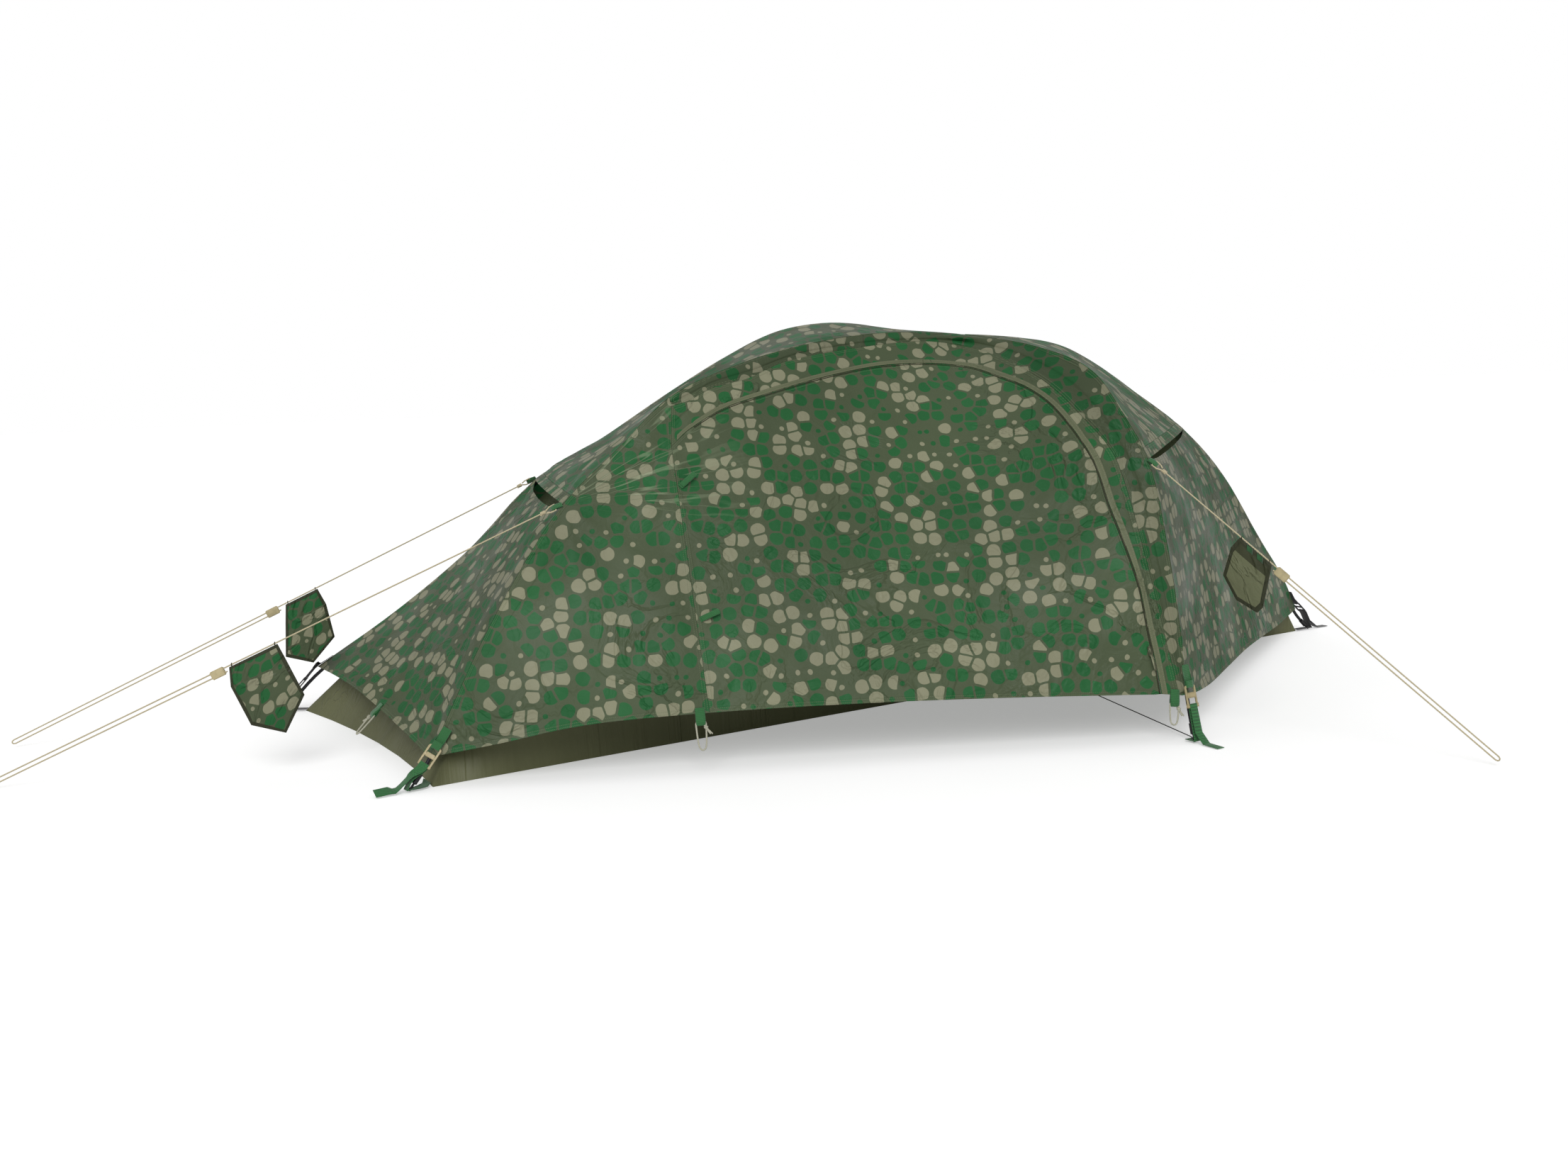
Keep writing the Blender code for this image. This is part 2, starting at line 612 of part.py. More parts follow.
n_back = len(B_LEFT) - 1
back_of_b = back_grid[-2][:n_back + 1][::-1]
back_of_a = back_grid[-2][n_back:]
NORMALS = {
    "a_left": outward_normals(A_LEFT, front_side(A_LEFT, .02), join_sides(left_end[1], left_roof[1])),
    "a_right": outward_normals(A_RIGHT, back_of_a, join_sides(right_roof[-2][::-1], right_end[-2][::-1])),
    "b_right": outward_normals(B_RIGHT, front_side(B_RIGHT, -.02), join_sides(right_end[1], right_roof[1])),
    "b_left": outward_normals(B_LEFT, back_of_b, join_sides(left_roof[-2][::-1], left_end[-2][::-1])),
}
UP = (unit([0.0, .12, 1.0]), .5)
NORMALS["a_left"][-1] = NORMALS["a_right"][0] = NORMALS["b_right"][-1] = NORMALS["b_left"][0] = UP


def inner_line(line, normals, clear, ease_at=None, ease=0.0):
    """Move a ridge line inwards by a clearance, eased further in near one of its points."""
    out = []
    for p, (n, k) in zip(line, normals):
        extra = 0.0 if ease_at is None else ease * max(0.0, 1 - np.linalg.norm(p - ease_at) / .25)
        out.append(p - n * (clear + extra) / k)
    return np.array(out)


def ground_point(foot, toward):
    """Where the pin stands: its lowest edge on the ground."""
    d = unit(np.asarray(toward) - foot)
    return np.asarray(foot) + d * (TIP_PIN_R * math.sqrt(1 - d[2] ** 2) / d[2] + .0002)


def pole_path(parts, foot_a, foot_b, drop):
    line = chain(*parts)
    if drop:
        for p in line:
            away = np.linalg.norm((p - CROSSING)[:2])
            p[2] -= drop * max(0.0, 1 - away / .16)
    start, end = ground_point(foot_a, line[0]), ground_point(foot_b, line[-1])
    return start, line, end


POLE_CLEAR = POLE_R + POLE_GAP
A_PATH = pole_path([inner_line(A_LEFT, NORMALS["a_left"], POLE_CLEAR),
                    inner_line(A_RIGHT, NORMALS["a_right"], POLE_CLEAR, A_LEG_R[0], HOOD_EASE)],
                   FOOT_LF, FOOT_RB, CROSS_DROP)
B_PATH = pole_path([inner_line(B_RIGHT, NORMALS["b_right"], POLE_CLEAR),
                    inner_line(B_LEFT, NORMALS["b_left"], POLE_CLEAR)], FOOT_RF, FOOT_LB, 0.0)


def cut_line(line, lengths, s0, s1):
    def at(s):
        return np.array([np.interp(s, lengths, line[:, i]) for i in range(3)])
    inside = [p for p, s in zip(line, lengths) if s0 + .009 < s < s1 - .009]
    return [at(s0)] + inside + [at(s1)]


def build_pole(letter, path, tip_a, tip_b, pieces=3):
    start, line, end = path
    full = np.vstack([start, line, end])
    lengths = np.r_[0, np.cumsum(np.linalg.norm(np.diff(full, axis=0), axis=1))]
    first = TIP_PIN_LEN + TIP_COLLAR_LEN + POLE_JOINT_GAP
    last = lengths[-1] - first
    bounds = np.linspace(first, last, pieces + 1)
    for k in range(pieces):
        s0 = bounds[k] + (POLE_JOINT_GAP / 2 if k else 0)
        s1 = bounds[k + 1] - (POLE_JOINT_GAP / 2 if k < pieces - 1 else 0)
        tube(f"pole_{letter}_section_{k + 1}", cut_line(full, lengths, s0, s1), POLE_R, M_POLE)
    profile = [(0, TIP_PIN_R * .8), (.0006, TIP_PIN_R), (TIP_PIN_LEN, TIP_PIN_R),
               (TIP_PIN_LEN + .0015, TIP_COLLAR_R), (TIP_PIN_LEN + TIP_COLLAR_LEN, TIP_COLLAR_R)]
    turned(f"pole_tip_{tip_a}", profile, full[0], full[1] - full[0], M_TIP)
    turned(f"pole_tip_{tip_b}", profile, full[-1], full[-2] - full[-1], M_TIP)


build_pole("a", A_PATH, "left_front", "right_back")
build_pole("b", B_PATH, "right_front", "left_back")


# Inner tent: it follows the poles at a constant distance and stands on the rim of the floor
INNER_LINES = {key: inner_line(line, [(n, 1.0) for n, _ in NORMALS[key]], INNER_OFFSET)
               for key, line in (("a_left", A_LEFT), ("a_right", A_RIGHT), ("b_left", B_LEFT))}


def cut_at_height(line, z, low_first):
    """Trim a line at the rim height, keeping the number of nodes of what is left."""
    pts = line if low_first else line[::-1]
    keep = [i for i in range(len(pts)) if pts[i][2] > z + .012]
    first = keep[0]
    a, b = pts[first - 1] if first else pts[0] + (pts[0] - pts[1]), pts[first]
    t = (z - a[2]) / (b[2] - a[2])
    out = np.vstack([a + (b - a) * t, pts[first:]])
    return out if low_first else out[::-1]


inner_a_left = cut_at_height(INNER_LINES["a_left"], TUB_WALL, True)
inner_a_right = cut_at_height(INNER_LINES["a_right"], TUB_WALL, False)
inner_b_left = cut_at_height(INNER_LINES["b_left"], TUB_WALL, False)
RIM_L, RIM_R, RIM_B = inner_a_left[0], inner_a_right[-1], inner_b_left[-1]


def floor_corner(foot_point, hem_point):
    """A floor corner lies in line with its pole, a strap's length in from the pin."""
    d = unit((hem_point - foot_point) * (1, 1, 0))
    return np.array([*(foot_point + d * FLOOR_REACH)[:2], 0.0])


FLOOR_L = floor_corner(A_PATH[0], A_PATH[1][0])
FLOOR_R = floor_corner(A_PATH[2], A_PATH[1][-1])
FLOOR_B = floor_corner(B_PATH[2], B_PATH[1][-1])


# Corner straps, buckles and foot straps
def corner(name, foot_path, hem, ridge_1, top, black, floor=None):
    """Webbing from the ridge to the buckle, and from the buckle down to the pole tip and back as a tail."""
    foot, pole_hem = foot_path
    up = unit(pole_hem - foot)
    across = unit(np.cross(up, (0, 0, 1)))
    out = np.cross(across, up)
    if np.dot(out, hem - CENTRE) < 0:
        out, across = -out, -across
    ridge_dir = unit(ridge_1 - hem)
    ridge_dir = unit(ridge_dir - np.dot(ridge_dir, across) * across)
    ridge_out = unit(np.cross(across, ridge_dir) * np.sign(np.dot(np.cross(across, ridge_dir), out)))
    web = M_BLACK if black else M_WEB

    def at(s, n):
        return hem + up * s + out * n

    def on_ridge(s, n):
        return hem + ridge_dir * s + ridge_out * n

    near = CLOTH_T + WEB_GAP + WEB_T / 2
    wrap = BUCKLE_T / 2 + WEB_GAP + WEB_T / 2
    lean = np.dot(ridge_dir, out) / np.dot(ridge_dir, up)
    base = near + max(0.0, lean) * (max(top, 0) + .008) + .0008
    bn = base + wrap
    half = BUCKLE_BAR / 2 + WEB_GAP + WEB_T / 2
    low = top - BUCKLE_L + BUCKLE_BAR
    begin = [on_ridge(max(top, 0) + .046, near), on_ridge(max(top, 0) + .014, near)]
    if top < .010:
        begin.append(hem + unit(out + ridge_out) * (near + .0008))
    strap(f"corner_strap_{name}", begin + [at(top - half, base), at(top - half, bn + wrap),
                                           at(top + .012, bn + wrap + .0006)], across, WEB_W, web)
    slot = (BUCKLE_L - 3 * BUCKLE_BAR) / 2
    plate(f"corner_buckle_{name}", [rounded(BUCKLE_W, BUCKLE_L, .004),
                                    rounded(WEB_W + .0014, slot, .0015, 0, (slot + BUCKLE_BAR) / 2),
                                    rounded(WEB_W + .0014, slot, .0015, 0, -(slot + BUCKLE_BAR) / 2)],
          BUCKLE_T, basis(across, up, np.cross(across, up), at((top + low) / 2, bn)), M_TIP if black else M_BUCKLE)
    flat = unit(np.array([up[0], up[1], 0.0]))
    pin = foot + up * (.005 - foot[2]) / up[2]
    rise = foot + up * .013 + out * .0098
    reach = .017
    if floor is not None:
        edge = floor[0] + (floor[1] - floor[0]) * (pin[2] / TUB_WALL)
        reach = np.dot(edge - pin, flat) - .0010
    path = [pin + flat * reach, pin - flat * .0095, rise, at(low - .008, base), at(low + half, base),
            at(low + half, bn + wrap), at(low - .008, bn + wrap), rise + out * .007 + up * .006]
    tail = pin - flat * .034
    tail[2] = .0032
    end = tail - flat * (TAIL_LEN - .022)
    end[2] = .0018
    ob = strap(f"foot_strap_{name}", path + [tail, end], across, WEB_W, web)
    hole = cutter(f"hole_{name}", foot - up * .004, foot + up * .0115, STRAP_HOLE_R)
    boolean(ob, hole, 'DIFFERENCE')


corner("left_front", (A_PATH[0], A_PATH[1][0]), A_LEFT[0], A_LEFT[1], .022, False, (FLOOR_L, RIM_L))
corner("right_front", (B_PATH[0], B_PATH[1][0]), B_RIGHT[0], B_RIGHT[1], .020, False)
corner("left_back", (B_PATH[2], B_PATH[1][-1]), B_LEFT[-1], B_LEFT[-2], -.004, True, (FLOOR_B, RIM_B))
corner("right_back", (A_PATH[2], A_PATH[1][-1]), A_RIGHT[-1], A_RIGHT[-2], .014, True, (FLOOR_R, RIM_R))


# Hem tabs and peg loops
def peg_point(name, point, hem_dir, down, out):
    def at(n, d):
        return np.asarray(point) + out * n + down * d
    near = CLOTH_T + TAB_GAP + WEB_T / 2
    back = TAB_GAP + WEB_T / 2
    path = [at(near, -.012), at(near, .001), at(.0043, .012), at(.0043, .019), at(.0003, .0240), at(-.0038, .019),
            at(-.0038, .012), at(-back, .001), at(-back, -.010)]
    strap(f"hem_tab_{name}", path, hem_dir, TAB_W, M_WEB)
    axis = at(.00025, .0165)
    w, h, r = RING_W / 2, RING_LEN[name], .006
    ring = [(-w + r, 0), (w - r, 0), (w - .0018, .0018), (w, r), (w, h - r), (w - .0018, h - .0018), (w - r, h),
            (-w + r, h), (-w + .0018, h - .0018), (-w, h - r), (-w, r), (-w + .0018, .0018)]
    ob = tube(f"peg_loop_{name}", [axis + hem_dir * a + down * b for a, b in ring], LOOP_CORD_R, M_PALE, True)
    move_origin(ob, axis)
    return axis, hem_dir


front_dir = unit(hem_part(-.30, -.35, 1)[0] - hem_part(-.30, -.35, 1)[1])
JOINTS = {}


def tab_frame(a, b, above):
    """Hem direction, outward and down at the middle of one hem edge of a panel."""
    hem_dir = unit(b - a)
    down = unit((a + b) / 2 - above)
    down = unit(down - np.dot(down, hem_dir) * hem_dir)
    out = np.cross(hem_dir, down)
    if np.dot(out, (a + b) / 2 - CENTRE) < 0:
        out = -out
    return (a + b) / 2, hem_dir, down, out


k = len(hem_l) - 1
point, hem_dir, down, out = tab_frame(front_left[0][k - 1], front_left[0][k],
                                      (front_left[1][k - 1] + front_left[1][k]) / 2)
JOINTS["peg_loop_front"] = peg_point("front", point, hem_dir, down, out)
k = 2
point, hem_dir, down, out = tab_frame(left_end[k][0], left_end[k + 1][0], (left_end[k][1] + left_end[k + 1][1]) / 2)
JOINTS["peg_loop_left"] = peg_point("left", point, hem_dir, down, out)
edge = np.array([flap_line[-1], band_nodes[-1]])
edge = edge[0] + (edge[1] - edge[0]) * np.array([[.12], [1.02]])
point, hem_dir, down, out = tab_frame(edge[0], edge[1], (flap_line[-2] + band_nodes[-2]) / 2)
JOINTS["peg_loop_right"] = peg_point("right", point, hem_dir, down, out)

# Door tie-backs, zip slider and puller, all carried by the door
def door_surface(i, j, lift):
    """A point off the outside of the door grid, and its directions to the right, up and out."""
    p = door_grid[j][i]
    right = unit(door_grid[j][i + 1] - p)
    rise = unit(door_grid[j + 1][i] - p)
    out = unit(np.cross(right, rise))
    if np.dot(out, p - CENTRE) < 0:
        out = -out
    rise = np.cross(out, right)
    rise = rise if rise[2] > 0 else -rise
    return p + out * lift, right, rise, out


# The door turns on the outer skin of its straight seam
seam_dir = unit(seam_low[-1] - seam_low[0])
seam_out = sum(door_surface(0, j, 0)[3] for j in range(N_DOOR))
seam_out = unit(seam_out - np.dot(seam_out, seam_dir) * seam_dir)
DOOR_AXIS = (seam_low[0] + seam_out * (CLOTH_T + .0001), seam_low[-1] + seam_out * (CLOTH_T + .0001))


def tieback(name, row):
    base, right, rise, out = door_surface(0, row, 0.0)
    away = math.radians(7)
    lie = right * math.cos(away) + out * math.sin(away)
    lift = out * math.cos(away) - right * math.sin(away)

    def at(a, n):
        return base + right * .008 + lie * a + lift * (CLOTH_T + .0013 + n)

    path = [at(0, 0), at(TIEBACK_LEN - .006, 0), at(TIEBACK_LEN, .0022), at(TIEBACK_LEN - .006, .0044),
            at(.004, .0017 + .0002)]
    ob = strap(f"door_tieback_{name}", path, rise, TIEBACK_W, M_WEB, .0012)
    move_origin(ob, at(0, 0))
    JOINTS[f"door_tieback_{name}"] = (at(0, 0), rise)


tieback("upper", 5)
tieback("lower", 2)


def zip_fittings():
    start = zip_nodes[-3]
    stop = zip_nodes[-6]
    travel = unit(stop - start)
    right = unit(zip_nodes[-3] - door_grid[-2][-3])
    right = unit(right - np.dot(right, travel) * travel)
    out = unit(np.cross(right, travel))
    if np.dot(out, start - CENTRE) < 0:
        out = -out
    w, length, t = ZIP_SLIDER_SIZE
    centre = start - right * (w / 2 + .0022) + out * (CLOTH_T + .0008 + t / 2)
    bm = bmesh.new()
    bmesh.ops.create_cube(bm, size=1, matrix=basis(right, travel, out, centre) @ Matrix.Diagonal((w, length, t, 1)))
    bmesh.ops.bevel(bm, geom=bm.edges[:], offset=.0014, segments=2, affect='EDGES')
    ob = solid_mesh("zip_slider", bm, M_METAL)
    move_origin(ob, centre)
    pw, pl, pt = PULLER_SIZE
    hinge = centre + out * (t / 2 + .0008 + pt / 2) - travel * (length / 2 - .004)
    hang = unit(np.array([0, 0, -1.0]) + out * .42)
    hang = unit(hang - np.dot(hang, right) * right)
    face = np.cross(right, hang)
    mid = hinge + hang * (pl / 2 - .0007)
    plate("zip_puller", [rounded(pw, pl, .0024)], pt, basis(right, hang, face, mid), M_METAL)
    move_origin(bpy.data.objects["zip_puller"], hinge)
    JOINTS["zip_slider"] = (centre, travel, float(np.linalg.norm(stop - start)))
    JOINTS["zip_puller"] = (hinge, right)


zip_fittings()


# Guy loops, guy lines, sliders and storage pouches
def guy(name, hood, normal, spec):
    end = np.array(spec["end"])
    g = unit(end - hood)
    across = unit(np.cross(g, normal))
    m_dir = np.cross(across, g)
    if np.dot(m_dir, normal) < 0:
        m_dir = -m_dir

    def at(a, n, w=0.0):
        return hood + g * a + (normal if a < .009 else m_dir) * n + across * w

    low, high = CLOTH_T + WEB_GAP + WEB_T / 2, CLOTH_T + 2 * WEB_GAP + WEB_T * 1.6
    strap(f"guy_webbing_{name}", [at(.0005, high), at(.010, .0046), at(.014, .0058), at(.019, .0058),
                                  at(.0235, .0033), at(.019, .0008), at(.014, .0008), at(.010, .0012),
                                  at(.0005, low)], across, GUY_WEB_W, M_WEB)
    g2 = unit(end - at(.040, .0033))
    down = np.array([0, 0, -1.0])
    down = unit(down - np.dot(down, g2) * g2)
    base = at(.040, .0033)

    def run(a, d):
        return base + g2 * a + down * d

    total = float(np.linalg.norm(end - base))
    stop = spec["slider"] - .040
    knot = [at(.036, .0033, -.0044), at(.028, .0033, -.0080), at(.016, .0033, -.0086), at(.016, .0033, .0086),
            at(.028, .0033, .0076)]
    turn = [run(total - .006, 0), run(total - .0015, .0015), run(total, GUY_SPREAD / 2),
            run(total - .0015, GUY_SPREAD - .0015), run(total - .006, GUY_SPREAD)]
    tail = [run(stop - .019, GUY_SPREAD)]
    tube(f"guy_line_{name}", knot + [base] + turn + tail, CORD_R, M_CORD)
    centre = run(stop, GUY_SPREAD / 2)
    side = np.cross(g2, down)
    bm = bmesh.new()
    bmesh.ops.create_cube(bm, size=1, matrix=basis(g2, side, down, centre) @ Matrix.Diagonal(
        (SLIDER_LEN, SLIDER_T, SLIDER_H, 1)))
    bmesh.ops.bevel(bm, geom=bm.edges[:], offset=.0016, segments=2, affect='EDGES')
    slider = solid_mesh(f"guy_slider_{name}", bm, M_SLIDER)
    for label, d in (("main", 0), ("back", GUY_SPREAD)):
        hole = cutter(f"bore_{name}_{label}", run(stop - .03, d), run(stop + .03, d), SLIDER_BORE_R, 14)
        boolean(slider, hole, 'DIFFERENCE')
    JOINTS[f"guy_slider_{name}"] = (centre, g2, total - stop)
    # The pouch hangs on the single run by two rings
    far = spec["pouch"] - .040
    corner_pt = run(far, 0)
    e1, e2 = -g2, np.array([0, 0, -1.0])
    face = unit(np.cross(e1, e2))
    outline = spec["outline"]
    bm = bmesh.new()
    front_loop = [bm.verts.new(tuple(corner_pt + e1 * u + e2 * v + face * POUCH_T / 2)) for u, v in outline]
    back_loop = [bm.verts.new(tuple(corner_pt + e1 * u + e2 * v - face * POUCH_T / 2)) for u, v in outline]
    bm.faces.new(front_loop)
    bm.faces.new(back_loop[::-1])
    for i in range(len(outline)):
        k2 = (i + 1) % len(outline)
        bm.faces.new((front_loop[i], back_loop[i], back_loop[k2], front_loop[k2]))
    pouch = solid_mesh(f"storage_pouch_{name}", bm, M_FLY)
    for label, u in (("far", POUCH_RING_LEN / 2 + .001), ("near", outline[1][0] - POUCH_RING_LEN / 2 - .001)):
        a, b = corner_pt + e1 * (u - POUCH_RING_LEN / 2), corner_pt + e1 * (u + POUCH_RING_LEN / 2)
        ring = cutter(f"ring_{name}_{label}", a, b, POUCH_RING_OUT, 14)
        boolean(pouch, ring, 'UNION')
    for label, u in (("far", POUCH_RING_LEN / 2 + .001), ("near", outline[1][0] - POUCH_RING_LEN / 2 - .001)):
        a, b = corner_pt + e1 * (u - POUCH_RING_LEN), corner_pt + e1 * (u + POUCH_RING_LEN)
        boolean(pouch, cutter(f"eye_{name}_{label}", a, b, POUCH_RING_IN, 14), 'DIFFERENCE')
    JOINTS[f"storage_pouch_{name}"] = (corner_pt, g2)


hood_l = len(A_LEG_L) - 1
guy("left_front", A_LEFT[hood_l], NORMALS["a_left"][hood_l][0], GUYS["left_front"])
guy("left_back", B_LEFT[-len(B_LEG_L)], NORMALS["b_left"][-len(B_LEG_L)][0], GUYS["left_back"])
hood_r = len(B_LEG_R) - 1
guy("right", B_RIGHT[hood_r], NORMALS["b_right"][hood_r][0], GUYS["right"])

# Floor of the inner tent
FLOOR_BOW = {"left": .034, "back": .030, "front": 0.0}


def bowed(a, b, bow, n, toward):
    t = np.linspace(0, 1, n + 1)[:, None]
    d = unit(np.array([toward[0], toward[1], 0.0]) - np.array([*(a + b)[:2] / 2, 0.0]))
    return a + (b - a) * t + d * bow * 4 * t * (1 - t)


MIDDLE = np.array([-.25, .15, 0])
n_front, n_left, n_back_rim = 16, 6, 16


def loop_of(left, right, back):
    """A closed triangular loop: front edge, back edge, left edge."""
    front = bowed(left, right, FLOOR_BOW["front"], n_front, MIDDLE)
    rear = bowed(right, back, FLOOR_BOW["back"], n_back_rim, MIDDLE)
    side = bowed(back, left, FLOOR_BOW["left"], n_left, MIDDLE)
    return np.vstack([front[:-1], rear[:-1], side[:-1]])


def offset_loop(loop, dist):
    """Move a closed plan loop inwards."""
    out = loop.copy()
    n = len(loop)
    for i in range(n):
        e1 = unit((loop[i] - loop[i - 1]) * (1, 1, 0))
        e2 = unit((loop[(i + 1) % n] - loop[i]) * (1, 1, 0))
        n1, n2 = np.array([-e1[1], e1[0], 0]), np.array([-e2[1], e2[0], 0])
        k = unit(n1 + n2)
        out[i] = loop[i] + k * dist / max(np.dot(k, n1), .3)
    return out


def bathtub():
    """Floor and walls as one thin body: outer and inner skins joined at the rim."""
    outer_low, outer_top = loop_of(FLOOR_L, FLOOR_R, FLOOR_B), loop_of(RIM_L, RIM_R, RIM_B)
    inner_low = offset_loop(outer_low, FLOOR_T * 1.6) + (0, 0, FLOOR_T)
    inner_top = offset_loop(outer_top, FLOOR_T * 1.2)
    bm = bmesh.new()
    rings = [[bm.verts.new(tuple(p)) for p in loop] for loop in (outer_low, outer_top, inner_top, inner_low)]
    n = len(outer_low)
    for lo, hi in zip(rings, rings[1:]):
        for i in range(n):
            bm.faces.new((lo[i], lo[(i + 1) % n], hi[(i + 1) % n], hi[i]))
    bm.faces.new(rings[0][::-1])
    bm.faces.new(rings[-1])
    bmesh.ops.triangulate(bm, faces=bm.faces[:])
    return solid_mesh("bathtub_floor", bm, M_FLOOR)


bathtub()


def inner_canopy():
    """Front wall with its doorway, left end, roof and back wall in one skin, thickened outwards."""
    lift = np.array([0, 0, .0005])
    n_al, n_ar = 13, 10
    ridge_line = chain(resample(inner_a_left, n_al), resample(inner_a_right, n_ar))
    ridge_line[0] += lift
    ridge_line[-1] += lift
    nr = len(ridge_line) - 1
    rim_front = bowed(RIM_L, RIM_R, 0.0, nr, MIDDLE) + lift
    bm = bmesh.new()

    def panel(grid, keep=None):
        rows, cols = grid.shape[:2]
        verts = [bm.verts.new(tuple(p)) for p in grid.reshape(-1, 3)]
        for f in grid_faces(rows, cols, keep):
            if len({tuple(np.round(grid.reshape(-1, 3)[k], 6)) for k in f}) == 4:
                bm.faces.new([verts[k] for k in f])
            else:
                tri = []
                for k in f:
                    if not any(np.allclose(grid.reshape(-1, 3)[k], grid.reshape(-1, 3)[q]) for q in tri):
                        tri.append(k)
                if len(tri) == 3:
                    bm.faces.new([verts[k] for k in tri])

    rows = 6
    front = np.array([[ridge_line[i] * (j / rows) + rim_front[i] * (1 - j / rows) for i in range(nr + 1)]
                      for j in range(rows + 1)])
    panel(front, lambda i, j: not (DOORWAY_COLS[0] <= i < DOORWAY_COLS[1] and DOORWAY_ROWS[0] <= j < DOORWAY_ROWS[1]))
    # Left end and roof between the two poles, up to the crossing
    left_b = inner_b_left[::-1]
    n_pair = n_al + 1
    cols = 5
    a_line, b_line = ridge_line[:n_al + 1], resample(left_b, n_al)
    b_line[0] += lift
    rim_left = bowed(RIM_L, RIM_B, FLOOR_BOW["left"], cols, MIDDLE) + lift
    side = np.zeros((cols + 1, n_pair, 3))
    for j in range(cols + 1):
        t = j / cols
        for i in range(n_pair):
            v = i / (n_pair - 1)
            low = rim_left[j] - (a_line[0] * (1 - t) + b_line[0] * t)
            side[j, i] = a_line[i] * (1 - t) + b_line[i] * t + low * max(0.0, 1 - v * 3) ** 2
            side[j, i] -= np.array([0, 0, .018]) * 4 * t * (1 - t) * math.sin(math.pi * v)
    panel(side)
    # Back wall under pole B to the crossing and under pole A beyond it
    top = chain(b_line, ridge_line[n_al:])
    rim_back = bowed(RIM_B, RIM_R, FLOOR_BOW["back"], len(top) - 1, MIDDLE) + lift
    rear = np.array([[back_point(p, q, j / 5) for p, q in zip(top, rim_back)] for j in range(6)])
    panel(rear)
    bmesh.ops.remove_doubles(bm, verts=bm.verts[:], dist=.0001)
    bmesh.ops.delete(bm, geom=[v for v in bm.verts if not v.link_faces], context='VERTS')
    bmesh.ops.recalc_face_normals(bm, faces=bm.faces[:])
    mesh = bpy.data.meshes.new("inner_canopy")
    bm.to_mesh(mesh)
    bm.free()
    ob = add_object("inner_canopy", mesh, M_INNER)
    mod = ob.modifiers.new("thickness", 'SOLIDIFY')
    mod.thickness = INNER_T
    mod.offset = 1
    return ob


inner_canopy()

# Black tension cord from the right front pole tip to the front edge of the floor
pin_foot = B_PATH[0]
pin_dir = unit(B_PATH[1][0] - pin_foot)
pin = pin_foot + pin_dir * (.0098 - pin_foot[2]) / pin_dir[2]
anchor = FLOOR_L + (FLOOR_R - FLOOR_L) * .636
reach_dir = unit((anchor - pin) * (1, 1, 0))
anchor = anchor + (RIM_L - FLOOR_L) * (.0098 / TUB_WALL) * (0, 0, 1)
wall_in = (.364 * RIM_L + .636 * RIM_R) - (.364 * FLOOR_L + .636 * FLOOR_R)
anchor = anchor + wall_in * (1, 1, 0) * (.0098 / TUB_WALL) - reach_dir * .0013
side_dir = np.array([-reach_dir[1], reach_dir[0], 0])
eye = [pin + reach_dir * .0042 * math.cos(a) + side_dir * .0042 * math.sin(a)
       for a in np.radians([35, 80, 125, 170, 215, 260, 305])]
tube("front_tension_cord", eye[::-1] + [pin + reach_dir * .0125 + side_dir * .0012, anchor], .0011, M_BLACK)


def place_part():
    """Bring the tent to its own frame: middle of the footprint at the origin, ground at zero."""
    shift = Matrix.Translation(Vector(FRAME_SHIFT))
    for ob in list(PART.objects) + list(CUTTERS.objects):
        ob.matrix_world = shift @ ob.matrix_world


place_part()
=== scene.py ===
"""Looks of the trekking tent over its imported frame: cloth, stitching, cords, fittings, light and camera."""
import json
import math
import bpy
import bmesh
import numpy as np
from mathutils import Matrix, Vector, noise

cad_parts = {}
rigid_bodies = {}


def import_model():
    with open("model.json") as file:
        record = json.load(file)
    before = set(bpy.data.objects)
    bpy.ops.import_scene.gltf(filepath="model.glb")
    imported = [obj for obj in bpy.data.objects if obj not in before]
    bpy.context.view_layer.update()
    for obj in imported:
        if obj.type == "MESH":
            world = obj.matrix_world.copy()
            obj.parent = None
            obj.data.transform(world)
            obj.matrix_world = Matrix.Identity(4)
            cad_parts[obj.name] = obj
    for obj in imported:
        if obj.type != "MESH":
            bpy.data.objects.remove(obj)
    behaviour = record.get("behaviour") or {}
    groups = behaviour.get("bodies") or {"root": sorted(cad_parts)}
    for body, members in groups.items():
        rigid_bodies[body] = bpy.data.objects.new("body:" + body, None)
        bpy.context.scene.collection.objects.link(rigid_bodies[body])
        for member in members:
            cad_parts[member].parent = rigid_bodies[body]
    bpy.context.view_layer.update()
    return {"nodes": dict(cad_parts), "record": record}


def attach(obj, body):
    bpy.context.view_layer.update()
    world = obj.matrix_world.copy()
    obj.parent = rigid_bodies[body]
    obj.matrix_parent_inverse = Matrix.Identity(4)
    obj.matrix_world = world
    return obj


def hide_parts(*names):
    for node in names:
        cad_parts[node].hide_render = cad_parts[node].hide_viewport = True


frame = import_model()
NODES, RECORD, SCENE = frame["nodes"], frame["record"], bpy.context.scene
BODY = {n: b for b, ns in RECORD["behaviour"]["bodies"].items() for n in ns}
JOINT = {j["child"]: j for j in RECORD["behaviour"]["joints"]}
norm = np.linalg.norm
# From the origin that the control points are written in to the frame's
SHIFT = np.array((-.1231, .0056, 0.0))

# Camera: its place before the shift, its turns in degrees, and its lens and sensor in millimetres
CAMERA_AT, CAMERA_TURNS, CAMERA_LENS, CAMERA_SENSOR = (-.710, -3.671, .851), (9.669, 8.5, 2.0), 37.43, 36.0


